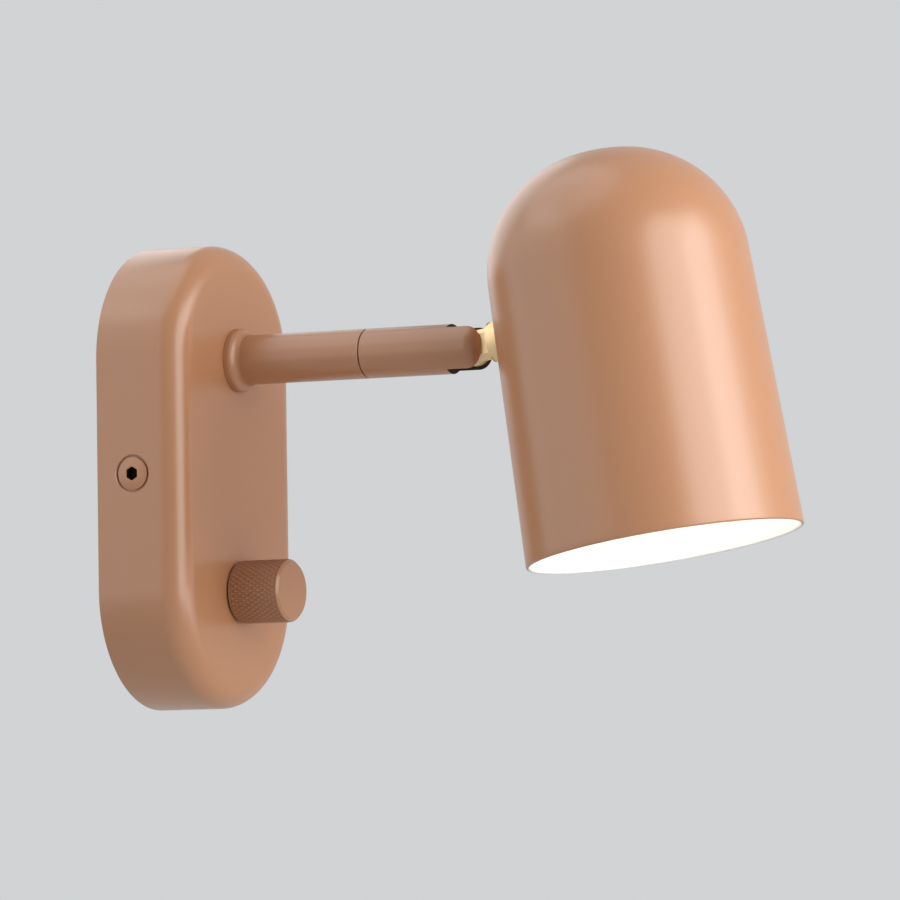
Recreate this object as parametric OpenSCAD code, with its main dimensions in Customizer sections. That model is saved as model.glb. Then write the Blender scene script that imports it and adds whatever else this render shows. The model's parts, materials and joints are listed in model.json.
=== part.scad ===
// Adjustable wall reading lamp with a pill-shaped base, a knurled dimmer knob, a swivelling arm
// and a tilting domed shade on a brass knuckle.
// The wall is the plane y = 0, the lamp stands out towards -y, and z is up.
// The origin is the middle of the base on the wall.

/* [Wall base] */
// Height of the pill-shaped base
base_h = 150; // [146:1:170]
// Width of the base
base_w = 76; // [75:0.5:82]
// Depth of the base from the wall
base_d = 31; // [30:0.5:36]
// Radius of the rounded front edge
base_edge_r = 8.5; // [5:0.5:9.5]
// Wall thickness of the cover
base_wall = 1.6; // [1.2:0.1:2]
// Height of the arm above the middle of the base
arm_z = 37.5; // [36:0.5:40]
// Distance of the dimmer below the middle of the base
dimmer_z = 37.5; // [37:0.5:41]
// Spacing of the two wall screw holes
wall_hole_spacing = 90; // [84:1:96]
// Diameter of the wall screw holes
wall_hole_d = 4.5; // [4:0.1:5.5]
// Bore of the grommet for the supply cable
cable_hole_d = 9; // [8:0.5:10]
// Thickness of the steel bracket
bracket_t = 1.5; // [1.2:0.1:2]
// Depth of the side screws from the wall
side_screw_d = 13; // [11.5:0.5:14.5]
// Thread diameter of the side screws
side_thread_d = 6; // [5:0.5:6]
// Head diameter of the side screws
side_head_d = 10.5; // [9.5:0.5:11.5]
// Head height of the side screws
side_head_h = 3.3; // [2.5:0.1:3.6]

/* [Dimmer knob] */
// Diameter of the knob
knob_d = 20.5; // [20:0.5:24]
// Distance from the base to the face of the knob
knob_h = 19; // [16:0.5:22]
// Gap between the base and the back of the knob
knob_gap = 0.4; // [0.4:0.1:1.2]
// Chamfer round the face of the knob
knob_chamfer = 0.7; // [0.4:0.1:1]
// Number of knurl grooves each way round the knob
knurl_starts = 40; // [32:1:48]
// Angle between the knurl grooves and the knob's axis
knurl_angle = 30; // [25:1:40]
// Depth of the knurl
knurl_depth = 0.35; // [0.2:0.05:0.5]
// Diameter of the dimmer shaft
shaft_d = 6; // [5.6:0.1:6.2]

/* [Arm] */
// Outer diameter of the arm
arm_d = 16; // [15.6:0.1:17]
// Wall thickness of the arm tube
arm_wall = 1.5; // [1.2:0.1:1.6]
// Length of the fixed half of the arm
arm_fixed_len = 48; // [44:0.5:60]
// Width of the seam between the two halves
seam_gap = 0.4; // [0.3:0.05:0.6]
// Length of the turning half of the arm
head_len = 42.6; // [40:0.2:56]
// Radius that rounds the end of the arm
head_end_r = 6; // [4:0.2:7]
// Diameter of the collar at the foot of the arm
collar_d = 20.5; // [20:0.1:22]
// Length of the collar
collar_len = 4.9; // [4:0.1:6]
// Threaded tube that clamps the arm to the cover
nipple_d = 10; // [9:0.1:10]

/* [Tilting knuckle] */
// Distance of the pivot from the end of the arm
pivot_back = 6; // [5.6:0.1:7]
// Width of the slot in the end of the arm
slot_w = 8.6; // [8:0.1:9]
// Depth of the slot
slot_depth = 12.5; // [12.5:0.1:14]
// Thickness of each friction washer
friction_t = 0.3; // [0.2:0.05:0.4]
// Radius of the round tongue
tongue_r = 5.6; // [5.6:0.1:6.2]
// Diameter of the neck
neck_d = 10.2; // [9.2:0.1:10.2]
// Diameter of the boss behind the shade
boss_d = 12.8; // [12.2:0.1:14]
// Distance from the pivot to the back face of the boss
boss_start = 8.5; // [8.2:0.1:9]
// Diameter of the pivot screw
pivot_d = 4; // [3.6:0.1:4]
// Distance from the pivot to the wall of the shade
neck_reach = 13.8; // [13:0.1:16]

/* [Shade] */
// Outer diameter at the mouth
shade_mouth_d = 88.1; // [86:0.1:94]
// Outer diameter where the straight wall meets the dome
shade_top_d = 83; // [82:0.1:86]
// Height of the straight wall
shade_straight_h = 89.7; // [88:0.1:100]
// Radius of the round shoulder of the dome
shade_shoulder_r = 38.2; // [36:0.1:39]
// Radius of the nearly flat crown
shade_crown_r = 69.5; // [60:0.5:80]
// Wall thickness of the shade
shade_wall = 1.2; // [0.8:0.1:1.4]
// Distance of the knuckle below the top of the straight wall
neck_drop = 14; // [12:0.5:16]
// Tilt of the shade from upright
shade_tilt = 9.4; // [0:0.1:20]

/* [Lampholder and bulb] */
// Height of the lampholder bracket above the knuckle
bracket_rise = 33; // [31:0.5:34]
// Width of the lampholder bracket
holder_strip_w = 16; // [14:0.5:18]
// Thickness of the lampholder bracket
holder_strip_t = 1.5; // [1.2:0.1:2]
// Diameter of the lampholder
holder_d = 27; // [26:0.5:28]
// Length of the lampholder
holder_len = 36; // [34:0.5:37]
// Diameter of the bulb
bulb_d = 45; // [42:0.5:47]
// Length of the bulb below the lampholder
bulb_len = 54; // [50:0.5:56]

/* [Clearances] */
// Radial gap between a turning shaft and its bore
running_gap = 0.05; // [0.03:0.01:0.08]
// Radial gap round pressed, threaded and pushed-in pieces
fit_gap = 0.05; // [0.03:0.01:0.08]
// Side and end gap between pieces that turn past each other
end_gap = 0.1; // [0.08:0.01:0.15]
// Gap between the cover and the bracket lugs inside it
cover_gap = 0.2; // [0.1:0.05:0.4]
// Radial gap round a fastener in a plain hole
hole_gap = 0.2; // [0.1:0.05:0.3]

/* [Hidden] */
$fn = 64;

PAINT = [0.72, 0.53, 0.39];
STEEL = [0.66, 0.67, 0.68];
BRASS = [0.86, 0.72, 0.42];
NYLON = [0.86, 0.84, 0.78];
RUBBER = [0.16, 0.16, 0.17];
PLASTIC = [0.9, 0.9, 0.88];
BLACK = [0.12, 0.12, 0.12];
OPAL = [0.97, 0.96, 0.92];

eps = 0.01;        // overlap that makes a cut clean
through = 40;      // length of a cut that goes right through a piece

// Places along the depth, all measured out from the wall
inner_d = base_d - base_wall;
seam_d = base_d + arm_fixed_len;
head_d0 = seam_d + seam_gap;
arm_end_d = head_d0 + head_len;
pivot_at = arm_end_d - pivot_back;
slot_floor = head_len - slot_depth;
tube_bore = arm_d - 2 * arm_wall;

// Bracket and what it carries
inner_half_w = base_w / 2 - base_wall;
bracket_inset = 9;
plate_w = base_w - 2 * base_wall - 2 * bracket_inset;
plate_h = base_h - 2 * base_wall - 2 * bracket_inset;
lug_h = 18;
lug_reach = side_screw_d + 7;
lug_x = inner_half_w - cover_gap - bracket_t / 2;
bend_r = 2;
clinch_t = 4.2;
clinch_d = side_thread_d + 3.5;
side_screw_len = base_wall + cover_gap + bracket_t + clinch_t + 1.5;
grommet_z = 12;
grommet_wall = 1.5;
grommet_lip = 1.5;
grommet_lip_t = 1.2;

// Terminal block with three poles
poles = 3;
pole_pitch = 9;
block_h = 18;
block_t = 14.5;
block_z = -7;
block_w = poles * pole_pitch + 1;
clamp_d = 4.6;
clamp_bore = 3;
clamp_depth = 8;
clamp_screw_d = 2.5;
clamp_screw_offset = 4.5;

// Earth screw beside the block
earth_x = -20;
earth_z = 18;
earth_thread_d = 4;
earth_head_d = 8;
earth_head_h = 2.6;

// Dimmer module and its bushing
case_w = 30;
case_h = 28;
case_t = 15;
case_r = 3;
bushing_d = 10;
bushing_in = 4;
bushing_nut_af = 14;
bushing_nut_t = 2.4;
bushing_washer_t = 0.6;
bushing_end_d = base_d + bushing_washer_t + bushing_nut_t + 0.8;
flange_d = 9.6;
flange_t = 1.6;
flange_room = 0.5;
shaft_flat = 1.5;
knob_face_d = base_d + knob_h;
knob_back_d = base_d + knob_gap;
knob_back_chamfer = 0.4;
knob_web_d = bushing_end_d + 0.8;
knob_recess_d = bushing_nut_af / cos(30) + 1.2;
knob_bore_end = knob_face_d - 2;
shaft_end_d = knob_bore_end - end_gap;
grub_d = 3;
grub_len = 5;
grub_at = (knob_web_d + knob_bore_end) / 2;

// Clamping of the arm
nipple_wall = 1.25;
nipple_in = 10;
nipple_out = 12;
nut_af = 14;
nut_t = 3.5;
lock_washer_t = 0.8;
lock_washer_d = 17;
collar_rim = 1.4;
collar_round_r = 2;
collar_lip = 0.3;

// Swivel inside the seam
journal_d = 8;
journal_bore = 5.5;
spigot_in = 12;
bushing_len = 8.8;
journal_len = bushing_len + 4;
ring_t = 1;
ring_d = 11;
ring_groove_d = 7;
stop_pin_d = 1.2;
stop_pin_r = 5.3;
stop_pin_reach = 2;
stop_pin_in = 3;
stop_range = 165;
stop_room = 2;
head_bore_len = bushing_len + 4;
head_cable_bore = 7;

// Tongue, screw and stud of the knuckle
tongue_t = slot_w - 2 * friction_t - 2 * end_gap;
cove_r = (boss_d - neck_d) / 2 + 0.3;
neck_bore = 6;
neck_bore_start = pivot_d / 2 + 2.2;
channel_w = 3.8;
channel_z = pivot_d / 2 + 0.2;
channel_h = 1.6;
saddle_t = 0.5;
stud_d = 10;
screw_head_d = 6.6;
screw_head_h = 1.5;
screw_seat = arm_d / 2 - 2.4;
screw_tip = arm_d / 2 - 1.2;

// Shade, bracket and holder, on the axis of the shade
taper = atan((shade_mouth_d - shade_top_d) / 2 / shade_straight_h);
shoulder_x = shade_top_d / 2 - shade_shoulder_r * cos(taper);
shoulder_z = -shade_shoulder_r * sin(taper);
crown_z = shoulder_z - sqrt(pow(shade_crown_r - shade_shoulder_r, 2) - pow(shoulder_x, 2));
neck_wall_r = shade_top_d / 2 + neck_drop * tan(taper);
axis_y = -(neck_reach + neck_wall_r);
inner_r = neck_wall_r - shade_wall / cos(taper);
strip_sag = inner_r - sqrt(pow(inner_r, 2) - pow(holder_strip_w / 2, 2));
strip_seat = neck_reach + shade_wall + strip_sag + 0.5;
strip_y = -(strip_seat + holder_strip_t / 2);
stud_washer_d = nut_af;
strip_knee = stud_washer_d / 2 + 1.5;
strip_run = 13;
strip_tail = 9;
strip_path = [
  [strip_y, -strip_knee], [strip_y, strip_knee], [strip_y - strip_run, bracket_rise],
  [axis_y - strip_tail, bracket_rise]
];
cable_hole = (strip_path[1] + strip_path[2]) / 2;
leg_dir = (strip_path[2] - strip_path[1]) / norm(strip_path[2] - strip_path[1]);
leg_normal = [leg_dir[1], -leg_dir[0]];
strip_hole_d = 7;
stud_washer_t = 1;
stud_end = strip_seat + holder_strip_t + stud_washer_t + nut_t + 1;
holder_top = bracket_rise - holder_strip_t / 2 - neck_drop;
holder_mouth = holder_top - holder_len;
cap_len = 14;
holder_nipple_grip = 4.5;
cap_wall = 1.5;
thread_d = 14.6;
shell_t = 0.4;
shell_len = 18;
shell_inset = 2;
contact_d = 6;
contact_t = 1;
contact_stem_d = 2.8;
bulb_cap_d = 13.8;
bulb_cap_len = 16;
bulb_tip_len = 3;
bulb_cap_seat = holder_mouth + shell_inset + shell_len - contact_t - bulb_tip_len - bulb_cap_len;
globe_t = 1.2;
globe_rim_d = 28;
globe_z = holder_mouth - bulb_len + bulb_d / 2;
globe_top = globe_z + sqrt(pow(bulb_d / 2, 2) - pow(globe_rim_d / 2, 2));
core_d = 1.4;
core_x = 0.85;
core_bend_r = 2.2;
cable_d = 5;
cable_behind_d = 10;
cable_bend_r = 6;
sheath_drop = 15;
cable_rise = 9;
cable_arch = 11.5;
leg_clear = 5;

// Places and turns

module from_wall(x, z, d) {
  translate([x, -d, z]) rotate([90, 0, 0]) children();
}

module on_arm(d) {
  from_wall(0, arm_z, d) children();
}

module on_dimmer(d) {
  from_wall(0, -dimmer_z, d) children();
}

module on_pivot() {
  translate([0, -pivot_at, arm_z]) children();
}

module on_tilt() {
  on_pivot() rotate([-shade_tilt, 0, 0]) children();
}

module on_shade_axis(z) {
  on_tilt() translate([0, axis_y, neck_drop + z]) children();
}

module along_x() {
  rotate([0, 90, 0]) children();
}

module along_neck(s) {
  translate([0, -s, 0]) rotate([90, 0, 0]) children();
}

// Shapes that repeat

module ring(outer, bore, h) {
  difference() {
    cylinder(d = outer, h = h);
    translate([0, 0, -eps]) cylinder(d = bore, h = h + 2 * eps);
  }
}

module hexagon(af, h) {
  cylinder(d = af / cos(30), h = h, $fn = 6);
}

module hex_nut(af, bore, h) {
  difference() {
    hexagon(af, h);
    translate([0, 0, -eps]) cylinder(d = bore, h = h + 2 * eps);
  }
}

// Rounded screw head with a hexagon socket, seated on z = 0
module button_head(d, h, socket_af, socket_depth) {
  rim = 0.15 * h;
  flat_r = 0.25 * d;
  centre = (pow(flat_r, 2) + pow(h, 2) - pow(d / 2, 2) - pow(rim, 2)) / (2 * (h - rim));
  difference() {
    intersection() {
      cylinder(d = d, h = h);
      translate([0, 0, centre]) sphere(r = sqrt(pow(flat_r, 2) + pow(h - centre, 2)));
    }
    translate([0, 0, h - socket_depth]) hexagon(socket_af, socket_depth + 1);
  }
}

module pill(w, h) {
  square([w, h - w], center = true);
  for (s = [-1, 1]) translate([0, s * (h - w) / 2]) circle(d = w);
}

module rounded_rect(w, h, r) {
  square([w - 2 * r, h], center = true);
  square([w, h - 2 * r], center = true);
  for (sx = [-1, 1], sy = [-1, 1]) translate([sx * (w / 2 - r), sy * (h / 2 - r)]) circle(r = r);
}

// Half of a block's section with one rounded corner, from z = -below to z = depth
module edge_profile(half_w, depth, r, below) {
  translate([0, -below]) square([half_w, depth - r + below]);
  square([half_w - r, depth]);
  translate([half_w - r, depth - r]) circle(r = r);
}

// Pill-shaped block whose front edge is rounded all the way round
module pill_block(w, h, depth, r, below = 0) {
  run = h - w;
  for (s = [0, 1]) rotate([0, 0, 180 * s]) translate([0, run / 2, 0])
    rotate_extrude(angle = 180) edge_profile(w / 2, depth, r, below);
  translate([0, run / 2, 0]) rotate([90, 0, 0]) linear_extrude(run) {
    edge_profile(w / 2, depth, r, below);
    mirror([1, 0]) edge_profile(w / 2, depth, r, below);
  }
}

// Bent strips and cables

function left_of(u) = [-u[1], u[0]];
function turned(v, a) = [v[0] * cos(a) - v[1] * sin(a), v[0] * sin(a) + v[1] * cos(a)];
function unit(v) = v / norm(v);

// Points round one bend of radius r at b, at a distance side to the left of the path
function bend_points(a, b, c, r, side, steps) =
  let (u = unit(b - a), v = unit(c - b), turn = cross(u, v) > 0 ? 1 : -1,
       angle = acos(max(-1, min(1, u * v))), start = b - u * r * tan(angle / 2),
       centre = start + turn * r * left_of(u))
  [for (i = [0:steps]) centre - turn * (r - turn * side) * turned(left_of(u), turn * angle * i / steps)];

// A path with its corners rounded, shifted sideways
function bent_path(path, r, side = 0, steps = 6) =
  let (last = len(path) - 1)
  concat(
    [path[0] + side * left_of(unit(path[1] - path[0]))],
    [for (i = [1:last - 1]) each bend_points(path[i - 1], path[i], path[i + 1], r, side, steps)],
    [path[last] + side * left_of(unit(path[last] - path[last - 1]))]
  );

function reversed(list) = [for (i = [len(list) - 1:-1:0]) list[i]];

module bent_strip(path, r, t) {
  polygon(concat(bent_path(path, r, t / 2), reversed(bent_path(path, r, -t / 2))));
}

function tangent_at(p, i) = unit(p[min(i + 1, len(p) - 1)] - p[max(i - 1, 0)]);

// Round tube that follows a list of points and never runs along x
module tube_along(points, d, sides) {
  rings = [for (i = [0:len(points) - 1])
    let (t = tangent_at(points, i), n = unit([1, 0, 0] - t[0] * t), b = cross(t, n))
    [for (k = [0:sides - 1]) points[i] + d / 2 * (cos(360 * k / sides) * n + sin(360 * k / sides) * b)]];
  last = len(points) - 1;
  polyhedron(
    points = [for (ring = rings) each ring],
    faces = concat(
      [[for (k = [0:sides - 1]) k]],
      [for (i = [0:last - 1], k = [0:sides - 1], half = [0, 1])
        let (a = i * sides + k, b = i * sides + (k + 1) % sides)
        half == 0 ? [a, a + sides, b] : [b, a + sides, b + sides]],
      [[for (k = [sides - 1:-1:0]) last * sides + k]]
    )
  );
}

// A path drawn in y and z, lifted to a given x
function at_x(path, x) = [for (p = path) [x, p[0], p[1]]];

function bezier(a, b, c, d, steps) =
  [for (i = [0:steps]) let (t = i / steps, s = 1 - t)
    s * s * s * a + 3 * s * s * t * b + 3 * s * t * t * c + t * t * t * d];

// Fixed base

module wall_bracket() color(STEEL) {
  difference() {
    union() {
      from_wall(0, 0, 0) linear_extrude(bracket_t) pill(plate_w, plate_h);
      for (s = [0, 1]) mirror([s, 0, 0]) translate([0, 0, -lug_h / 2]) linear_extrude(lug_h)
        bent_strip([
          [plate_w / 2 - bend_r, -bracket_t / 2], [lug_x, -bracket_t / 2], [lug_x, -lug_reach]
        ], bend_r, bracket_t);
    }
    for (s = [-1, 1]) from_wall(0, s * wall_hole_spacing / 2, -eps) cylinder(d = wall_hole_d, h = through);
    from_wall(0, grommet_z, -eps) cylinder(d = cable_hole_d + 2 * grommet_wall, h = through);
    from_wall(earth_x, earth_z, -eps) cylinder(d = earth_thread_d + 2 * fit_gap, h = through);
    translate([0, -side_screw_d, 0]) along_x()
      cylinder(d = side_thread_d + 2 * hole_gap, h = 2 * base_w, center = true);
  }
}

module clinch_nuts() color(STEEL) {
  for (s = [0, 1]) mirror([s, 0, 0])
    translate([lug_x - bracket_t / 2 - clinch_t, -side_screw_d, 0]) along_x()
      ring(clinch_d, side_thread_d + 2 * fit_gap, clinch_t);
}

module cable_grommet() color(RUBBER) {
  from_wall(0, grommet_z, 0) difference() {
    union() {
      cylinder(d = cable_hole_d + 2 * grommet_wall, h = bracket_t + grommet_lip_t);
      translate([0, 0, bracket_t])
        cylinder(d = cable_hole_d + 2 * grommet_wall + 2 * grommet_lip, h = grommet_lip_t);
    }
    translate([0, 0, -eps]) cylinder(d = cable_hole_d, h = through);
  }
}

module at_poles() {
  for (i = [0:poles - 1]) from_wall((i - (poles - 1) / 2) * pole_pitch, block_z, bracket_t) children();
}

module terminal_block() color(PLASTIC) {
  difference() {
    union() {
      from_wall(0, block_z, bracket_t) linear_extrude(block_t - 5) rounded_rect(block_w, block_h, 1);
      at_poles() linear_extrude(block_t) rounded_rect(pole_pitch - 1.6, block_h - 2, 1);
    }
    at_poles() translate([0, 0, clamp_depth]) rotate([90, 0, 0])
      cylinder(d = clamp_d + 2 * fit_gap, h = through, center = true);
    at_poles() for (s = [-1, 1]) translate([0, s * clamp_screw_offset, clamp_depth])
      cylinder(d = clamp_screw_d + 1, h = block_t);
  }
}

module terminal_clamps() color(BRASS) {
  difference() {
    at_poles() translate([0, 0, clamp_depth]) rotate([90, 0, 0])
      cylinder(d = clamp_d, h = block_h - 1, center = true);
    at_poles() translate([0, 0, clamp_depth]) rotate([90, 0, 0])
      cylinder(d = clamp_bore, h = through, center = true);
    at_poles() for (s = [-1, 1]) translate([0, s * clamp_screw_offset, clamp_depth])
      cylinder(d = clamp_screw_d + 2 * fit_gap, h = block_t);
  }
}

module terminal_screws() color(STEEL) {
  at_poles() for (s = [-1, 1]) translate([0, s * clamp_screw_offset, clamp_depth + clamp_bore / 2 - 0.4])
    difference() {
      cylinder(d = clamp_screw_d, h = 4);
      translate([-clamp_screw_d, -0.3, 3]) cube([2 * clamp_screw_d, 0.6, 2]);
    }
}

module bracket_screws() color(BRASS) {
  from_wall(earth_x, earth_z, bracket_t) {
    ring(earth_head_d + 1, earth_thread_d + 2 * hole_gap, 0.8);
    translate([0, 0, 0.8]) difference() {
      union() {
        cylinder(d = earth_head_d, h = earth_head_h);
        translate([0, 0, -0.8 - bracket_t]) cylinder(d = earth_thread_d, h = bracket_t + 1);
      }
      translate([-earth_head_d, -0.5, earth_head_h - 1.2]) cube([2 * earth_head_d, 1, 2]);
    }
  }
}

module base_cover() color(PAINT) {
  difference() {
    from_wall(0, 0, 0) pill_block(base_w, base_h, base_d, base_edge_r);
    from_wall(0, 0, 0)
      pill_block(base_w - 2 * base_wall, base_h - 2 * base_wall, inner_d, base_edge_r - base_wall, 1);
    on_arm(inner_d - 1) cylinder(d = nipple_d + 2 * hole_gap, h = through);
    on_dimmer(inner_d - 1) cylinder(d = bushing_d + 2 * hole_gap, h = through);
    translate([0, -side_screw_d, 0]) along_x()
      cylinder(d = side_thread_d + 2 * hole_gap, h = 2 * base_w, center = true);
  }
}

module side_screws() color(PAINT) {
  for (s = [0, 1]) mirror([s, 0, 0]) translate([base_w / 2, -side_screw_d, 0]) along_x() {
    button_head(side_head_d, side_head_h, 4, 2.1);
    translate([0, 0, -side_screw_len]) cylinder(d = side_thread_d, h = side_screw_len + eps);
  }
}

// Dimmer

module dimmer_case() color(BLACK) {
  difference() {
    on_dimmer(inner_d - case_t) linear_extrude(case_t) rounded_rect(case_w, case_h, case_r);
    on_dimmer(inner_d - bushing_in) cylinder(d = bushing_d + 2 * fit_gap, h = through);
    on_dimmer(inner_d - bushing_in - flange_t - flange_room)
      cylinder(d = flange_d + 1, h = through);
    on_dimmer(inner_d - case_t + 4) cylinder(d = shaft_d + 2 * running_gap, h = case_t);
  }
}

module dimmer_tags() color(STEEL) {
  for (s = [-1, 1]) on_dimmer(inner_d - case_t)
    translate([s * 5 - 1.5, case_h / 2 - 6, -4]) cube([3, 0.8, 4]);
}

module dimmer_bushing() color(BRASS) {
  on_dimmer(inner_d - bushing_in)
    ring(bushing_d, shaft_d + 2 * running_gap, bushing_end_d - inner_d + bushing_in);
}

module dimmer_washer() color(STEEL) {
  on_dimmer(base_d) ring(bushing_nut_af + 1, bushing_d + 2 * hole_gap, bushing_washer_t);
}

module dimmer_nut() color(BRASS) {
  on_dimmer(base_d + bushing_washer_t) hex_nut(bushing_nut_af, bushing_d + 2 * fit_gap, bushing_nut_t);
}

module dimmer_leads() color(RUBBER) {
  tag_d = inner_d - case_t - 3;
  start_z = -dimmer_z + case_h / 2 - 4;
  end_z = block_z - block_h / 2 + 2;
  for (s = [-1, 1]) tube_along(bezier(
    [s * 5, -tag_d, start_z], [s * 5, -tag_d, start_z + 4],
    [s * pole_pitch, -bracket_t - clamp_depth, end_z - 5], [s * pole_pitch, -bracket_t - clamp_depth, end_z],
    8), 1.8, 8);
}

module dimmer_shaft() color(STEEL) {
  flange_at = inner_d - bushing_in - flange_t - flange_room / 2;
  difference() {
    union() {
      on_dimmer(inner_d - case_t + 4.3) cylinder(d = shaft_d, h = shaft_end_d - inner_d + case_t - 4.3);
      on_dimmer(flange_at) cylinder(d = flange_d, h = flange_t);
    }
    on_dimmer(knob_web_d) translate([-shaft_d, -shaft_d - shaft_d / 2 + shaft_flat, 0])
      cube([2 * shaft_d, shaft_d, through]);
  }
}

// Cylinder with a chamfer at each end and rows of pyramids left by two sets of crossing grooves
module knurled_cylinder(r, h, back, front) {
  low_r = r - knurl_depth;
  side = h - back - front;
  rows = max(2, round(side * tan(knurl_angle) * knurl_starts / (PI * r)));
  n = 2 * knurl_starts;
  top = rows + 2;
  heights = concat([0], [for (j = [0:rows]) back + side * j / rows], [h]);
  function inner_row(j) = j > 1 && j < rows + 1;
  function radius(i, j) = j == 0 ? low_r - back : j == top ? low_r - front
    : inner_row(j) && (i + j) % 2 == 1 ? r : low_r;
  polyhedron(
    points = [for (j = [0:top], i = [0:n - 1])
      [radius(i, j) * cos(360 * i / n), radius(i, j) * sin(360 * i / n), heights[j]]],
    faces = concat(
      [[for (i = [0:n - 1]) i]],
      [for (j = [0:top - 1], i = [0:n - 1], half = [0, 1])
        let (a = j * n + i, b = j * n + (i + 1) % n, c = a + n, d = b + n)
        (i + j) % 2 == 0 ? (half == 0 ? [a, d, b] : [a, c, d]) : (half == 0 ? [a, c, b] : [b, c, d])],
      [[for (i = [n - 1:-1:0]) top * n + i]]
    )
  );
}

module knob() color(PAINT) {
  h = knob_face_d - knob_back_d;
  difference() {
    on_dimmer(knob_back_d) knurled_cylinder(knob_d / 2, h, knob_back_chamfer, knob_chamfer);
    on_dimmer(knob_back_d - 1) cylinder(d = knob_recess_d, h = knob_web_d - knob_back_d + 1);
    difference() {
      on_dimmer(knob_back_d) cylinder(d = shaft_d + 2 * fit_gap, h = knob_bore_end - knob_back_d);
      on_dimmer(knob_web_d)
        translate([-shaft_d, -shaft_d - shaft_d / 2 + shaft_flat - fit_gap, 0])
          cube([2 * shaft_d, shaft_d, through]);
    }
    on_dimmer(grub_at) rotate([90, 0, 0]) cylinder(d = grub_d + 2 * fit_gap, h = knob_d);
  }
}

module knob_grub_screw() color(STEEL) {
  tip = shaft_d / 2 - shaft_flat + fit_gap;
  on_dimmer(grub_at) rotate([90, 0, 0]) translate([0, 0, tip]) difference() {
    cylinder(d = grub_d, h = grub_len);
    translate([0, 0, grub_len - 1.5]) hexagon(1.5, 2);
  }
}

// Arm

module arm_nipple() color(STEEL) {
  on_arm(inner_d - nipple_in)
    ring(nipple_d, nipple_d - 2 * nipple_wall, nipple_in + base_wall + nipple_out);
}

module arm_nut() color(STEEL) {
  on_arm(inner_d - lock_washer_t - nut_t) hex_nut(nut_af, nipple_d + 2 * fit_gap, nut_t);
}

module arm_lock_washer() color(STEEL) {
  on_arm(inner_d - lock_washer_t) ring(lock_washer_d, nipple_d + 2 * hole_gap, lock_washer_t);
}

// Flat rim, rounded shoulder and a hollow that runs out along the arm
module arm_collar() color(PAINT) {
  r = collar_d / 2;
  bore = arm_d / 2 + fit_gap;
  rise = collar_len - collar_rim;
  side = bore + collar_lip - r + collar_round_r;
  hollow_r = (pow(side, 2) + pow(rise, 2) - pow(collar_round_r, 2)) / (2 * (collar_round_r - side));
  round_at = [r - collar_round_r, collar_rim];
  hollow_at = [bore + collar_lip + hollow_r, collar_len];
  meet = round_at + collar_round_r * unit(hollow_at - round_at);
  on_arm(base_d) rotate_extrude() difference() {
    union() {
      translate([bore, 0]) square([r - bore, collar_rim]);
      intersection() {
        translate(round_at) circle(r = collar_round_r);
        translate([bore, 0]) square([r, collar_len]);
      }
      polygon([[bore, 0], round_at, meet, hollow_at, [bore, collar_len]]);
    }
    translate(hollow_at) circle(r = hollow_r);
  }
}

module arm_insert() color(STEEL) {
  on_arm(base_d) ring(tube_bore - 2 * fit_gap, nipple_d + 2 * fit_gap, nipple_out);
}

module arm_tube() color(PAINT) {
  on_arm(base_d) ring(arm_d, tube_bore, arm_fixed_len);
}

// Plug in the fixed tube with the journal that the head turns on
module swivel_spigot() color(BRASS) {
  difference() {
    union() {
      on_arm(seam_d - spigot_in) cylinder(d = tube_bore - 2 * fit_gap, h = spigot_in);
      on_arm(seam_d) cylinder(d = journal_d, h = journal_len);
    }
    on_arm(seam_d - spigot_in - 1) cylinder(d = journal_bore, h = through);
    on_arm(seam_d + seam_gap + bushing_len + end_gap) ring(journal_d + 2, ring_groove_d, ring_t);
    on_arm(seam_d - stop_pin_in) translate([0, stop_pin_r, 0])
      cylinder(d = stop_pin_d + 2 * fit_gap, h = stop_pin_in + 1);
  }
}

module swivel_washer() color(NYLON) {
  on_arm(seam_d) difference() {
    ring(tube_bore - 2 * fit_gap, journal_d + 2 * hole_gap, seam_gap - end_gap);
    translate([0, stop_pin_r, -eps]) cylinder(d = stop_pin_d + 2 * fit_gap, h = 2);
  }
}

module swivel_stop_pin() color(STEEL) {
  on_arm(seam_d - stop_pin_in) translate([0, stop_pin_r, 0])
    cylinder(d = stop_pin_d, h = stop_pin_in + seam_gap + stop_pin_reach);
}

module swivel_circlip() color(STEEL) {
  on_arm(seam_d + seam_gap + bushing_len + end_gap) difference() {
    ring(ring_d, ring_groove_d + 2 * fit_gap, ring_t);
    translate([-1.2, 0, -eps]) cube([2.4, ring_d, 2 * ring_t]);
  }
}

// Bearing ring with the curved groove that the stop pin runs in
module swivel_bushing() color(BRASS) {
  pin_angle = asin((stop_pin_d / 2 + end_gap) / stop_pin_r);
  sweep = 2 * (stop_range + pin_angle + stop_room);
  groove_w = stop_pin_d + 2 * end_gap;
  on_arm(head_d0) difference() {
    ring(tube_bore - 2 * fit_gap, journal_d + 2 * running_gap, bushing_len);
    translate([0, 0, -eps]) rotate([0, 0, 90 - sweep / 2]) rotate_extrude(angle = sweep)
      translate([stop_pin_r - groove_w / 2, 0]) square([groove_w, stop_pin_reach + end_gap + eps]);
  }
}

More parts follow.
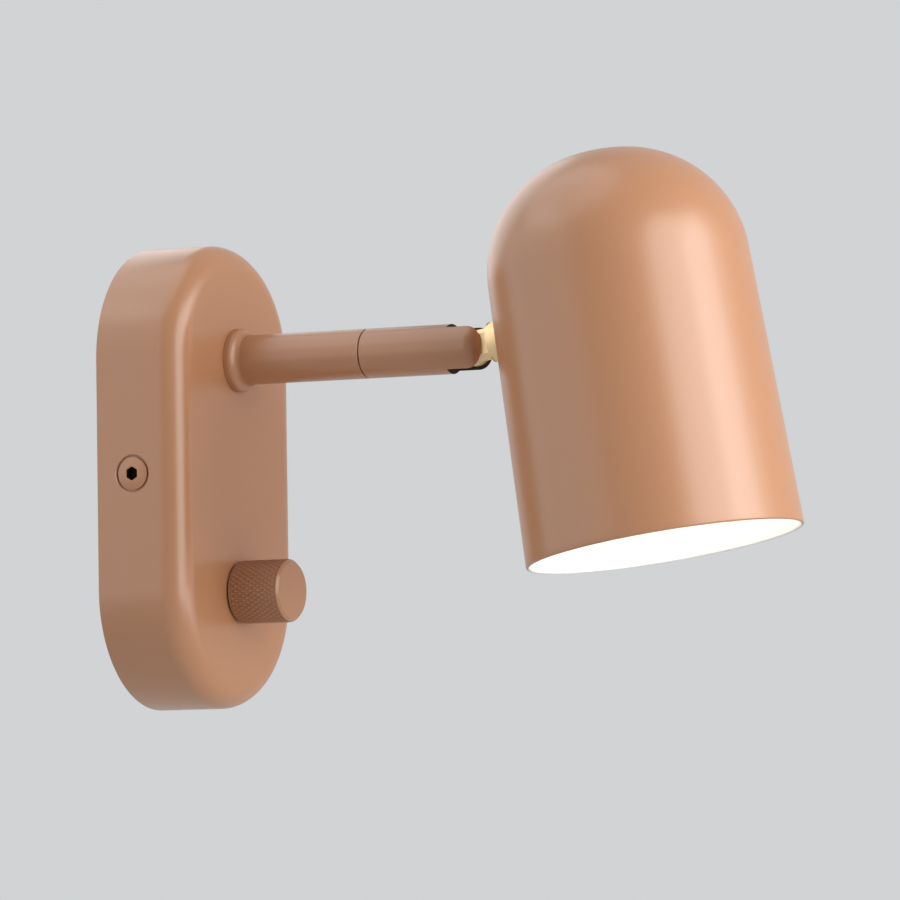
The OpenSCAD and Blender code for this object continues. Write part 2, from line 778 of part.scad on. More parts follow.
module arm_head() color(PAINT) {
  r = arm_d / 2;
  difference() {
    on_arm(head_d0) rotate_extrude() {
      square([r, head_len - head_end_r]);
      square([r - head_end_r, head_len]);
      intersection() {
        translate([r - head_end_r, head_len - head_end_r]) circle(r = head_end_r);
        square([r, head_len]);
      }
    }
    on_arm(head_d0 - eps) cylinder(d = tube_bore, h = head_bore_len);
    on_arm(head_d0) cylinder(d = head_cable_bore, h = slot_floor + 1);
    on_arm(head_d0 + slot_floor) translate([-slot_w / 2, -arm_d, 0]) cube([slot_w, 2 * arm_d, through]);
    on_pivot() along_x() {
      translate([0, 0, -screw_tip]) cylinder(d = pivot_d + 2 * fit_gap, h = 2 * screw_tip);
      translate([0, 0, screw_seat]) cylinder(d = screw_head_d + 2 * hole_gap, h = arm_d);
    }
  }
}

module pivot_screw() color(STEEL) {
  on_pivot() along_x() difference() {
    union() {
      translate([0, 0, end_gap - screw_tip]) cylinder(d = pivot_d, h = screw_tip + screw_seat);
      translate([0, 0, screw_seat]) cylinder(d = screw_head_d, h = screw_head_h);
    }
    translate([0, 0, screw_seat + screw_head_h - 1.1]) hexagon(2.5, 2);
  }
}

module friction_washers() color(NYLON) {
  for (s = [0, 1]) mirror([s, 0, 0]) on_pivot() translate([slot_w / 2 - friction_t, 0, 0]) along_x()
    ring(2 * pivot_back - 0.6, pivot_d + 2 * hole_gap, friction_t);
}

// Supply cable in the arm

module arm_cable() color(BLACK) {
  sheath_end = arm_z - sheath_drop;
  cable_y = -cable_behind_d;
  tube_along(at_x(bent_path([
    [cable_y, sheath_end], [cable_y, arm_z - cable_bend_r], [cable_y - cable_bend_r - 0.5, arm_z],
    [-seam_d, arm_z]
  ], cable_bend_r), 0), cable_d, 10);
  for (s = [-1, 1]) tube_along(bezier(
    [s, cable_y, sheath_end], [s, cable_y, sheath_end - 8],
    [s * pole_pitch, -bracket_t - clamp_depth, block_z + block_h / 2 + 6],
    [s * pole_pitch, -bracket_t - clamp_depth, block_z + block_h / 2 - 2],
    8), core_d, 8);
}

module head_cable() color(BLACK) {
  sheath_len = head_bore_len + 5;
  lift = head_cable_bore / 2 - core_d / 2 - 0.1;
  on_arm(seam_d + end_gap) cylinder(d = cable_d, h = sheath_len);
  on_pivot() for (s = [-1, 1])
    tube_along(at_x(bezier(
      [pivot_at - seam_d - end_gap - sheath_len, 0], [pivot_at - seam_d - sheath_len - 4, 0],
      [slot_depth - pivot_back + 4, lift], [slot_depth - pivot_back + 0.1, lift],
      6), s * core_x), core_d, 8);
}

// Knuckle, in the pivot's own frame with the neck along -y

module neck_outline() {
  square([neck_d / 2, boss_start]);
  difference() {
    translate([0, boss_start - cove_r]) square([boss_d / 2 + 0.3, cove_r + eps]);
    translate([neck_d / 2 + cove_r, boss_start - cove_r]) circle(r = cove_r);
  }
}

module shade_cone(outset) {
  grow = outset / cos(taper);
  translate([0, axis_y, neck_drop - shade_straight_h])
    cylinder(r1 = shade_mouth_d / 2 + grow, r2 = shade_top_d / 2 + grow, h = shade_straight_h, $fn = 360);
}

module knuckle() color(BRASS) {
  on_tilt() difference() {
    union() {
      intersection() {
        union() {
          along_x() cylinder(r = tongue_r, h = tongue_t, center = true);
          along_neck(0) rotate_extrude() neck_outline();
        }
        cube([tongue_t, 4 * boss_start, boss_d], center = true);
      }
      difference() {
        along_neck(boss_start) cylinder(d = boss_d, h = neck_reach);
        shade_cone(saddle_t);
      }
      along_neck(boss_start) cylinder(d = stud_d, h = stud_end - boss_start);
    }
    along_x() cylinder(d = pivot_d + 2 * running_gap, h = 2 * tongue_t, center = true);
    along_neck(neck_bore_start) cylinder(d = neck_bore, h = through);
    translate([-channel_w / 2, -neck_bore_start - 3.5, channel_z]) cube([channel_w, through, channel_h]);
  }
}

module saddle_washer() color(NYLON) {
  on_tilt() difference() {
    intersection() {
      along_neck(boss_start + 1) ring(boss_d, stud_d + 2 * hole_gap, neck_reach);
      shade_cone(saddle_t);
    }
    shade_cone(0);
  }
}

// Shade and what hangs in it

// Half section of the domed shade, drawn in from the outside by inset
module shade_outline(inset, below) {
  wall_r = shade_top_d / 2 - inset * cos(taper);
  mouth_r = shade_mouth_d / 2 - inset / cos(taper) + below * tan(taper);
  meet_z = -inset * sin(taper);
  lean = atan2(shoulder_z - crown_z, shoulder_x);
  far = 2 * shade_crown_r;
  polygon([
    [0, -shade_straight_h - below], [mouth_r, -shade_straight_h - below], [wall_r, meet_z],
    [shoulder_x, shoulder_z], [0, shoulder_z]
  ]);
  intersection() {
    translate([shoulder_x, shoulder_z]) circle(r = shade_shoulder_r - inset);
    translate([0, -far / 2]) square(far);
  }
  intersection() {
    translate([0, crown_z]) circle(r = shade_crown_r - inset);
    polygon([[0, crown_z], [far * cos(lean), crown_z + far * sin(lean)], [0, crown_z + far]]);
  }
}

module shade() color(PAINT) {
  difference() {
    on_shade_axis(0) difference() {
      rotate_extrude() shade_outline(0, 0);
      rotate_extrude() shade_outline(shade_wall, 1);
    }
    on_tilt() along_neck(boss_start) cylinder(d = stud_d + 2 * hole_gap, h = through);
  }
}

module inner_saddle() color(NYLON) {
  on_tilt() intersection() {
    along_neck(neck_reach) ring(boss_d + 3, stud_d + 2 * hole_gap, strip_seat - neck_reach);
    shade_cone(-shade_wall);
  }
}

module stud_washer() color(STEEL) {
  on_tilt() along_neck(strip_seat + holder_strip_t)
    ring(stud_washer_d, stud_d + 2 * hole_gap, stud_washer_t);
}

module stud_nut() color(BRASS) {
  on_tilt() along_neck(strip_seat + holder_strip_t + stud_washer_t)
    hex_nut(nut_af, stud_d + 2 * fit_gap, nut_t);
}

module holder_bracket() color(STEEL) {
  on_tilt() difference() {
    rotate([90, 0, 90]) translate([0, 0, -holder_strip_w / 2]) linear_extrude(holder_strip_w)
      bent_strip(strip_path, 3, holder_strip_t);
    along_neck(neck_reach) cylinder(d = stud_d + 2 * hole_gap, h = 8);
    translate([0, axis_y, bracket_rise - holder_strip_t])
      cylinder(d = nipple_d + 2 * hole_gap, h = 2 * holder_strip_t);
    translate([0, cable_hole[0], cable_hole[1]]) rotate([atan2(leg_normal[1], leg_normal[0]), 0, 0])
      rotate([90, 0, 0]) cylinder(d = strip_hole_d, h = 8, center = true);
  }
}

module holder_grommet() color(RUBBER) {
  lip = 1;
  on_tilt() translate([0, cable_hole[0], cable_hole[1]])
    rotate([atan2(leg_normal[1], leg_normal[0]), 0, 0]) rotate([90, 0, 0]) difference() {
      union() {
        translate([0, 0, -holder_strip_t / 2]) cylinder(d = strip_hole_d, h = holder_strip_t);
        translate([0, 0, holder_strip_t / 2]) cylinder(d = strip_hole_d + 2, h = lip);
        translate([0, 0, -holder_strip_t / 2 - lip]) cylinder(d = strip_hole_d + 2, h = lip);
      }
      cylinder(d = strip_hole_d - 2.4, h = 8, center = true);
    }
}

module holder_nipple() color(STEEL) {
  on_shade_axis(holder_top - holder_nipple_grip)
    ring(nipple_d, nipple_d - 2 * nipple_wall, holder_nipple_grip + holder_strip_t + nut_t + 1);
}

module holder_nut() color(STEEL) {
  on_shade_axis(holder_top + holder_strip_t) hex_nut(nut_af, nipple_d + 2 * fit_gap, nut_t);
}

module lampholder_cap() color(BLACK) {
  r = holder_d / 2;
  neck = nipple_d / 2 + 3;
  on_shade_axis(holder_top - cap_len) rotate_extrude() polygon([
    [nipple_d / 2 + fit_gap, cap_len], [neck, cap_len], [neck, cap_len - 3], [r, cap_len - 7], [r, 0],
    [r - cap_wall, 0], [r - cap_wall, cap_len - 7.5], [neck, cap_len - 5],
    [nipple_d / 2 + fit_gap, cap_len - 5]
  ]);
}

// Skirt, shelf under the cap and the socket for the threaded shell
module lampholder_body() color(BLACK) {
  r = holder_d / 2;
  socket_r = thread_d / 2 + shell_t + fit_gap;
  skirt = holder_len - cap_len;
  on_shade_axis(holder_mouth) difference() {
    union() {
      cylinder(r = r, h = skirt);
      cylinder(r = r - cap_wall - fit_gap, h = skirt + 4);
    }
    translate([0, 0, -eps]) cylinder(r = socket_r, h = shell_len + shell_inset + eps);
    translate([0, 0, shell_len + 1]) cylinder(d = contact_stem_d + 2 * fit_gap, h = skirt);
    translate([0, 0, -eps]) difference() {
      cylinder(r = r - cap_wall, h = skirt - 6);
      cylinder(r = socket_r + 1.5, h = skirt);
    }
  }
}

module lampholder_shell() color(BRASS) {
  on_shade_axis(holder_mouth + shell_inset) ring(thread_d + 2 * shell_t, thread_d, shell_len);
}

module lampholder_contact() color(BRASS) {
  on_shade_axis(holder_mouth + shell_inset + shell_len - contact_t) {
    cylinder(d = contact_d, h = contact_t);
    cylinder(d = contact_stem_d, h = contact_t + 3);
  }
}

module bulb_cap() color(STEEL) {
  r = bulb_cap_d / 2;
  on_shade_axis(bulb_cap_seat) rotate_extrude() polygon([
    [0, 0], [r, 0], [r, bulb_cap_len - 2], [r - 1.5, bulb_cap_len], [2.5, bulb_cap_len + 1.5],
    [2.5, bulb_cap_len + bulb_tip_len], [0, bulb_cap_len + bulb_tip_len]
  ]);
}

// Plain cone between the cap and the globe
module bulb_base() color(PLASTIC) {
  on_shade_axis(globe_top) cylinder(d1 = globe_rim_d, d2 = bulb_cap_d, h = bulb_cap_seat - globe_top);
}

module bulb_globe() color(OPAL) {
  on_shade_axis(0) difference() {
    translate([0, 0, globe_z]) sphere(d = bulb_d);
    translate([0, 0, globe_z]) sphere(d = bulb_d - 2 * globe_t);
    translate([0, 0, globe_top]) cylinder(d = bulb_d, h = bulb_d);
  }
}

// The two cores run over the pivot, through the stud, past the bracket and down into the holder
module shade_cores() color(BLACK) {
  start_y = sqrt(pow(tongue_r, 2) - pow(channel_z + channel_h, 2));
  channel_mid = channel_z + channel_h / 2;
  turn_y = -stud_end - 3.5;
  corner_y = strip_path[2][0];
  path = [
    [start_y, channel_mid], [-neck_bore_start - 1, channel_mid], [-neck_bore_start - 5, core_x],
    [turn_y, core_x], cable_hole - leg_clear * leg_normal, cable_hole + leg_clear * leg_normal,
    [corner_y + leg_clear, bracket_rise], [corner_y - leg_clear, bracket_rise + cable_rise],
    [axis_y, bracket_rise + cable_arch], [axis_y, bracket_rise + holder_strip_t]
  ];
  on_tilt() for (s = [-1, 1]) tube_along(at_x(bent_path(path, core_bend_r, 0, 4), s * core_x), core_d, 6);
}

wall_bracket();
clinch_nuts();
cable_grommet();
terminal_block();
terminal_clamps();
terminal_screws();
bracket_screws();
base_cover();
side_screws();
dimmer_case();
dimmer_tags();
dimmer_bushing();
dimmer_washer();
dimmer_nut();
dimmer_leads();
arm_nipple();
arm_nut();
arm_lock_washer();
arm_collar();
arm_insert();
arm_tube();
swivel_spigot();
swivel_washer();
swivel_stop_pin();
swivel_circlip();
arm_cable();
arm_head();
swivel_bushing();
pivot_screw();
friction_washers();
head_cable();
knuckle();
saddle_washer();
shade();
inner_saddle();
stud_washer();
stud_nut();
holder_bracket();
holder_grommet();
holder_nipple();
holder_nut();
lampholder_cap();
lampholder_body();
lampholder_shell();
lampholder_contact();
bulb_cap();
bulb_base();
bulb_globe();
shade_cores();
dimmer_shaft();
knob();
knob_grub_screw();
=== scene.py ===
"""Wall reading lamp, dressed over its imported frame.

A pill-shaped base with a knurled dimmer knob, a swivelling arm, a brass knuckle and a domed
shade with its bulb lit. Shapes are built in millimetres and become metres when they are finished.
"""
import sys
import functools
import json
import logging
import math
from dataclasses import dataclass
from enum import Enum
from typing import Sequence

import bmesh
import bpy
from mathutils import Matrix, Vector


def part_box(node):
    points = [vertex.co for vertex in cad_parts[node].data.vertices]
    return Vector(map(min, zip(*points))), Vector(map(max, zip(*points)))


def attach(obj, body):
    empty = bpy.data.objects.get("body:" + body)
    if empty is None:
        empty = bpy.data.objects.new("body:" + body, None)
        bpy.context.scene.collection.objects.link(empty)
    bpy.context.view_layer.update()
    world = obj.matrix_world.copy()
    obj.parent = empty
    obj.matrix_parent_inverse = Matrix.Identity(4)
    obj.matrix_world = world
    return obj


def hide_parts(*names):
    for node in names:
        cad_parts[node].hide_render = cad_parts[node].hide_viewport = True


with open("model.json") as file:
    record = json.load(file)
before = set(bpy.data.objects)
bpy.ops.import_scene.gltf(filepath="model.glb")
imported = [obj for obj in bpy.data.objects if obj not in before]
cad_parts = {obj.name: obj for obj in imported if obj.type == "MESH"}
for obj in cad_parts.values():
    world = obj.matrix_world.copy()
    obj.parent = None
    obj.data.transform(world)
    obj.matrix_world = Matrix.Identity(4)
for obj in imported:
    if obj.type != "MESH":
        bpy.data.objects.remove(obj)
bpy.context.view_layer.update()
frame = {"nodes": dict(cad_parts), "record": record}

METRES = 0.001
SMOOTH_BELOW = math.radians(38)
LOG = logging.getLogger("wall_lamp")

Point = tuple[float, float]
Color = tuple[float, float, float]


class Body(Enum):
    """Bodies of the frame that the pieces ride on."""

    BASE = "base"
    ARM_HEAD = "arm_head"
    SHADE = "shade"
    KNOB = "knob"


class Slot(Enum):
    """Material slots of the record."""

    PAINT = "paint"
    STEEL = "steel"
    BRASS = "brass"
    NYLON = "nylon"
    RUBBER = "rubber"
    CABLE = "cable"
    WHITE_PLASTIC = "white_plastic"
    BLACK_PLASTIC = "black_plastic"
    OPAL_GLASS = "opal_glass"


class Union(Enum):
    """Ways of working one solid with another."""

    CUT = "DIFFERENCE"
    JOIN = "UNION"
    KEEP = "INTERSECT"


def joint_place(name: str) -> Vector:
    """Finds where a joint of the record lies.

    Args:
        name: The joint's name.

    Returns:
        The joint's place in millimetres.
    """
    joints = frame["record"]["behaviour"]["joints"]
    return Vector(next(joint["pos_m"] for joint in joints if joint["name"] == name)) / METRES


def arc(centre: Point, radius: float, start: float, end: float, steps: int) -> list[Point]:
    """Lays points along a round stretch of a profile.

    Args:
        centre: Centre of the stretch.
        radius: Radius of the stretch.
        start: First angle in degrees, from the profile's first axis.
        end: Last angle in degrees.
        steps: Number of steps between the two.

    Returns:
        The points, both ends included.
    """
    angles = [math.radians(start + (end - start) * k / steps) for k in range(steps + 1)]
    return [(centre[0] + radius * math.cos(a), centre[1] + radius * math.sin(a)) for a in angles]


def between(start: Point, end: Point, steps: int) -> list[Point]:
    """Divides a straight stretch of a profile.

    Args:
        start: First end.
        end: Last end.
        steps: Number of steps.

    Returns:
        The points, both ends left out.
    """
    return [
        (start[0] + (end[0] - start[0]) * k / steps, start[1] + (end[1] - start[1]) * k / steps)
        for k in range(1, steps)
    ]


def out_of_wall(depth: float, x: float = 0.0, z: float = 0.0) -> Matrix:
    """Places a turned piece so that its axis comes out of the wall.

    Args:
        depth: Distance from the wall of the piece's own zero.
        x: Place across the wall.
        z: Height on the wall.

    Returns:
        The placing matrix.
    """
    return Matrix.Translation((x, -depth, z)) @ Matrix.Rotation(math.pi / 2, 4, "X")


def along_x() -> Matrix:
    """Turns a piece's own axis to the right."""
    return Matrix.Rotation(math.pi / 2, 4, "Y")


class Workpiece:
    """A solid being made on the bench, in millimetres."""

    def __init__(self, name: str, mesh: bpy.types.Mesh) -> None:
        """Takes a mesh onto the bench.

        Args:
            name: Name of the piece.
            mesh: Its mesh in millimetres.
        """
        self.name = name
        self.mesh = mesh

    @classmethod
    def from_bmesh(cls, name: str, form: bmesh.types.BMesh, place: Matrix) -> "Workpiece":
        """Closes a bmesh into a piece.

        Args:
            name: Name of the piece.
            form: The bmesh, which is freed.
            place: Where the form goes.

        Returns:
            The piece, with its faces outwards.
        """
        bmesh.ops.remove_doubles(form, verts=form.verts, dist=1e-5)
        bmesh.ops.recalc_face_normals(form, faces=form.faces)
        bmesh.ops.transform(form, matrix=place, verts=form.verts)
        mesh = bpy.data.meshes.new(name)
        form.to_mesh(mesh)
        form.free()
        return cls(name, mesh)

    @classmethod
    def turned(
        cls,
        name: str,
        profile: Sequence[Point],
        place: Matrix | None = None,
        segments: int = 128,
        inside_from: int | None = None,
    ) -> "Workpiece":
        """Turns a profile round the piece's own upright axis.

        Args:
            name: Name of the piece.
            profile: Points of radius and height. It is closed on itself where it doesn't end on the axis.
            place: Where the piece goes.
            segments: Number of segments round.
            inside_from: Index of the profile's point from which faces take the second material.

        Returns:
            The turned piece.
        """
        form = bmesh.new()
        rings = []
        for radius, height in profile:
            count = segments if radius > 1e-6 else 1
            angles = [2 * math.pi * i / segments for i in range(count)]
            rings.append([form.verts.new((radius * math.cos(a), radius * math.sin(a), height)) for a in angles])
        pairs = list(zip(rings, rings[1:]))
        if len(rings[0]) > 1 and len(rings[-1]) > 1:
            pairs.append((rings[-1], rings[0]))
        for k, (low, high) in enumerate(pairs):
            for i in range(segments):
                j = (i + 1) % segments
                corners = (low[i % len(low)], low[j % len(low)], high[j % len(high)], high[i % len(high)])
                face = form.faces.new(tuple(dict.fromkeys(corners)))
                face.material_index = int(inside_from is not None and k >= inside_from)
        return cls.from_bmesh(name, form, place or Matrix())

    @classmethod
    def rod(cls, radius: float, low: float, high: float, place: Matrix, segments: int = 64) -> "Workpiece":
        """Turns a plain rod between two heights on its own axis.

        Args:
            radius: Radius of the rod.
            low: Lower end.
            high: Upper end.
            place: Where the rod goes.
            segments: Number of segments round.

        Returns:
            The rod.
        """
        return cls.turned("rod", [(0, low), (radius, low), (radius, high), (0, high)], place, segments)

    @classmethod
    def block(cls, low: Sequence[float], high: Sequence[float], place: Matrix | None = None) -> "Workpiece":
        """Saws a block between two corners.

        Args:
            low: Lowest corner.
            high: Highest corner.
            place: Where the block goes.

        Returns:
            The block.
        """
        form = bmesh.new()
        bmesh.ops.create_cube(form, size=1)
        middle = [(a + b) / 2 for a, b in zip(low, high)]
        size = [b - a for a, b in zip(low, high)]
        shape = Matrix.Translation(middle) @ Matrix.Diagonal((*size, 1))
        return cls.from_bmesh("block", form, (place or Matrix()) @ shape)

    def worked(self, way: Union, *others: "Workpiece") -> "Workpiece":
        """Cuts, joins or keeps this piece with others.

        Args:
            way: How the pieces are worked.
            others: The other pieces, which are used up.

        Returns:
            This piece.
        """
        for other in others:
            subject = shown(self.name, self.mesh)
            tool = shown(other.name, other.mesh)
            modifier = subject.modifiers.new(way.name, "BOOLEAN")
            modifier.operation = way.value
            modifier.solver = "EXACT"
            modifier.object = tool
            self.mesh = taken(subject)
            bpy.data.objects.remove(tool)
        return self

    def softened(self, width: float, segments: int = 2) -> "Workpiece":
        """Breaks the piece's sharp edges.

        Args:
            width: Width of the broken edge.
            segments: Number of steps round it.

        Returns:
            This piece.
        """
        subject = shown(self.name, self.mesh)
        modifier = subject.modifiers.new("edges", "BEVEL")
        modifier.width = width
        modifier.segments = segments
        modifier.limit_method = "ANGLE"
        modifier.angle_limit = SMOOTH_BELOW
        modifier.use_clamp_overlap = True
        self.mesh = taken(subject)
        return self

    def added(self, *others: "Workpiece") -> "Workpiece":
        """Lays other meshes into this one as they are.

        Args:
            others: The other pieces, which are used up.

        Returns:
            This piece.
        """
        form = bmesh.new()
        for mesh in (self.mesh, *(other.mesh for other in others)):
            form.from_mesh(mesh)
        form.to_mesh(self.mesh)
        form.free()
        return self

    def numbered(self, number: int) -> "Workpiece":
        """Gives all the piece's faces one material number.

        Args:
            number: The material number.

        Returns:
            This piece.
        """
        for face in self.mesh.polygons:
            face.material_index = number
        return self

    def stripped(self) -> "Workpiece":
        """Takes the piece's materials off.

        Returns:
            This piece.
        """
        self.mesh.materials.clear()
        return self.numbered(0)

    def dressed(self, *finishes: "Finish") -> "Workpiece":
        """Gives the piece its materials, which later cuts keep.

        Args:
            finishes: Its finishes, in the order of its faces' material numbers.

        Returns:
            This piece.
        """
        for finish in finishes:
            self.mesh.materials.append(finish.material())
        return self

    def finished(self, body: Body, finishes: Sequence["Finish"], *nodes: str) -> bpy.types.Object:
        """Dresses the piece and sets it on the lamp.

        Args:
            body: The body that it rides on.
            finishes: Its finishes, in the order of its faces' material numbers.
            nodes: The frame's nodes that it stands for.

        Returns:
            The piece's object.
        """
        self.mesh.transform(Matrix.Scale(METRES, 4))
        if not self.mesh.materials:
            self.dressed(*finishes)
        self.mesh.shade_smooth()
        self.mesh.set_sharp_from_angle(angle=SMOOTH_BELOW)
        piece = shown(self.name, self.mesh)
        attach(piece, body.value)
        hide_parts(*nodes)
        LOG.info("%s: %d faces on %s", self.name, len(self.mesh.polygons), body.value)
        return piece


def shown(name: str, mesh: bpy.types.Mesh) -> bpy.types.Object:
    """Puts a mesh into the scene.

    Args:
        name: Name of the object.
        mesh: Its mesh.

    Returns:
        The new object, at the origin.
    """
    piece = bpy.data.objects.new(name, mesh)
    bpy.context.scene.collection.objects.link(piece)
    return piece


def taken(subject: bpy.types.Object) -> bpy.types.Mesh:
    """Takes an object's modified mesh and clears the object away.

    Args:
        subject: The object with its modifiers.

    Returns:
        The plain mesh.
    """
    bpy.context.view_layer.update()
    graph = bpy.context.evaluated_depsgraph_get()
    mesh = bpy.data.meshes.new_from_object(subject.evaluated_get(graph), depsgraph=graph)
    bpy.data.objects.remove(subject)
    return mesh


class Wiring:
    """Adds nodes to a node tree and joins their sockets."""

    def __init__(self, tree: bpy.types.NodeTree) -> None:
        """Takes the tree to work on."""
        self.tree = tree

    def add(self, kind: str, inputs: dict | None = None, **settings: object) -> bpy.types.Node:
        """Adds a node.

        Args:
            kind: The node's type.
            inputs: Values or other nodes' outputs, by the name or number of the input.
            settings: The node's own settings.

        Returns:
            The node.
        """
        node = self.tree.nodes.new(kind)
        for name, value in settings.items():
            setattr(node, name, value)
        for socket, value in (inputs or {}).items():
            if isinstance(value, bpy.types.NodeSocket):
                self.tree.links.new(value, node.inputs[socket])
            else:
                node.inputs[socket].default_value = value
        return node

    def math(self, operation: str, *values: object) -> bpy.types.NodeSocket:
        """Adds a sum on plain numbers.

        Args:
            operation: The math node's operation.
            values: Its inputs in order.

        Returns:
            The sum's output.
        """
        return self.add("ShaderNodeMath", dict(enumerate(values)), operation=operation).outputs[0]

    def mix(self, factor: object, first: object, second: object) -> bpy.types.NodeSocket:
        """Mixes two colours.

        Args:
            factor: Share of the second colour.
            first: First colour.
            second: Second colour.

        Returns:
            The mixed colour.
        """
        inputs = {0: factor, 6: first, 7: second}
        return self.add("ShaderNodeMix", inputs, data_type="RGBA").outputs[2]


def new_group(
    name: str, kind: str, inputs: Sequence[tuple], outputs: Sequence[tuple]
) -> tuple[bpy.types.NodeTree, Wiring, bpy.types.Node]:
    """Starts a node group with named inputs and outputs.

    Args:
        name: Name of the group.
        kind: Type of its tree.
        inputs: Name, socket type and, where it has one, first value of each input.
        outputs: Name and socket type of each output.

    Returns:
        The group, its wiring and its input node.
    """
    tree = bpy.data.node_groups.new(name, kind)
    for title, socket, *value in inputs:
        made = tree.interface.new_socket(title, in_out="INPUT", socket_type=socket)
        if value:
            made.default_value = value[0]
    for title, socket in outputs:
        tree.interface.new_socket(title, in_out="OUTPUT", socket_type=socket)
    wiring = Wiring(tree)
    return tree, wiring, wiring.add("NodeGroupInput")


@functools.cache
def surface_grain() -> bpy.types.NodeTree:
    """Builds the group that gives a finish its drift of colour and gloss and its fine grain.

    Returns:
        The shader group.
    """
    tree, wiring, given = new_group(
        "surface_grain",
        "ShaderNodeTree",
        [
            ("Main Color", "NodeSocketColor"),
            ("Drift Color", "NodeSocketColor"),
            ("Drift Scale", "NodeSocketFloat", 30.0),
            ("Grain Scale", "NodeSocketFloat", 900.0),
            ("Roughness", "NodeSocketFloat", 0.4),
            ("Roughness Spread", "NodeSocketFloat", 0.05),
        ],
        [("Color", "NodeSocketColor"), ("Roughness", "NodeSocketFloat"), ("Height", "NodeSocketFloat")],
    )
    place = wiring.add("ShaderNodeTexCoord").outputs["Object"]
    drift = wiring.add("ShaderNodeTexNoise", {"Vector": place, "Scale": given.outputs["Drift Scale"], "Detail": 3.0})
    grain = wiring.add("ShaderNodeTexNoise", {"Vector": place, "Scale": given.outputs["Grain Scale"], "Detail": 2.0})
    shifted = wiring.math("SUBTRACT", grain.outputs[0], 0.5)
    spread = wiring.math("MULTIPLY_ADD", shifted, given.outputs["Roughness Spread"], given.outputs["Roughness"])
    color = wiring.mix(drift.outputs[0], given.outputs["Main Color"], given.outputs["Drift Color"])
    wiring.add("NodeGroupOutput", {"Color": color, "Roughness": spread, "Height": grain.outputs[0]})
    return tree


@functools.cache
def turned_marks() -> bpy.types.NodeTree:
    """Builds the group that draws the fine rings that a lathe tool leaves along its axis.

    Returns:
        The shader group.
    """
    tree, wiring, given = new_group(
        "turned_marks",
        "ShaderNodeTree",
        [
            ("Along", "NodeSocketFloat"),
            ("Rings per Metre", "NodeSocketFloat", 6000.0),
            ("Main Color", "NodeSocketColor"),
            ("Groove Color", "NodeSocketColor"),
        ],
        [("Color", "NodeSocketColor"), ("Height", "NodeSocketFloat")],
    )
    run = wiring.math("MULTIPLY", given.outputs["Along"], given.outputs["Rings per Metre"])
    rings = wiring.add("ShaderNodeTexNoise", {"W": run, "Scale": 1.0, "Detail": 2.0}, noise_dimensions="1D")
    color = wiring.mix(rings.outputs[0], given.outputs["Main Color"], given.outputs["Groove Color"])
    wiring.add("NodeGroupOutput", {"Color": color, "Height": rings.outputs[0]})
    return tree


@dataclass(frozen=True)
class Finish:
    """A surface finish with a slight drift of colour and gloss and a fine grain."""

    name: str
    slot: Slot
    color: Color
    drift: Color
    roughness: float
    spread: float = 0.06
    metallic: float = 0.0
    drift_scale: float = 30.0
    grain_scale: float = 900.0
    bump: float = 0.003
    coat: float = 0.0
    coat_roughness: float = 0.1
    specular: float = 0.5
    glow: float = 0.0

    @functools.cache
    def material(self) -> bpy.types.Material:
        """Builds the finish's material, once.

        Returns:
            The material.
        """
        material = bpy.data.materials.new(self.name)
        material.use_nodes = True
        material.node_tree.nodes.clear()
        wiring = Wiring(material.node_tree)
        grain = wiring.add("ShaderNodeGroup", node_tree=surface_grain())
        grain.inputs["Main Color"].default_value = (*self.color, 1)
        grain.inputs["Drift Color"].default_value = (*self.drift, 1)
        grain.inputs["Drift Scale"].default_value = self.drift_scale
        grain.inputs["Grain Scale"].default_value = self.grain_scale
        grain.inputs["Roughness"].default_value = self.roughness
        grain.inputs["Roughness Spread"].default_value = self.spread
        color, height = self.marked(wiring, grain)
        normal = wiring.add("ShaderNodeBump", {"Height": height, "Strength": 1.0, "Distance": self.bump * METRES})
        shader = wiring.add(
            "ShaderNodeBsdfPrincipled",
            {
                "Base Color": color,
                "Roughness": grain.outputs["Roughness"],
                "Metallic": self.metallic,
                "Specular IOR Level": self.specular,
                "Coat Weight": self.coat,
                "Coat Roughness": self.coat_roughness,
                "Emission Strength": self.glow,
                "Normal": normal.outputs[0],
            },
        )
        if self.glow:
            wiring.tree.links.new(color, shader.inputs["Emission Color"])
        wiring.add("ShaderNodeOutputMaterial", {"Surface": shader.outputs[0]})
        return material

    def marked(self, wiring: Wiring, grain: bpy.types.Node) -> tuple[bpy.types.NodeSocket, bpy.types.NodeSocket]:
        """Gives the colour and height that the shader takes.

        Args:
            wiring: The material's wiring; not used here.
            grain: The grain group's node.

        Returns:
            The colour's and the height's outputs.
        """
        return grain.outputs["Color"], grain.outputs["Height"]


@dataclass(frozen=True)
class GrooveShadeFinish(Finish):
    """A finish with painted shade: darker down in the grooves round an axis that points out of the wall."""

    axis_height: float = 0.0
    groove_radius: float = 0.0
    crest_radius: float = 1.0
    groove: Color = (0.5, 0.5, 0.5)

    def marked(self, wiring: Wiring, grain: bpy.types.Node) -> tuple[bpy.types.NodeSocket, bpy.types.NodeSocket]:
        """Paints shade on what lies near the grooves' radius.

        Args:
            wiring: The material's wiring.
            grain: The grain group's node.

        Returns:
            The colour's and the height's outputs.
        """
        place = wiring.add("ShaderNodeTexCoord").outputs["Object"]
        own = wiring.add("ShaderNodeSeparateXYZ", {0: place})
        rise = wiring.math("SUBTRACT", own.outputs["Z"], self.axis_height)
        square = wiring.math("MULTIPLY_ADD", rise, rise, wiring.math("MULTIPLY", own.outputs["X"], own.outputs["X"]))
        inputs = {0: wiring.math("SQRT", square), 1: self.groove_radius, 2: self.crest_radius}
        share = wiring.add("ShaderNodeMapRange", inputs).outputs[0]
        return wiring.mix(share, (*self.groove, 1), grain.outputs["Color"]), grain.outputs["Height"]


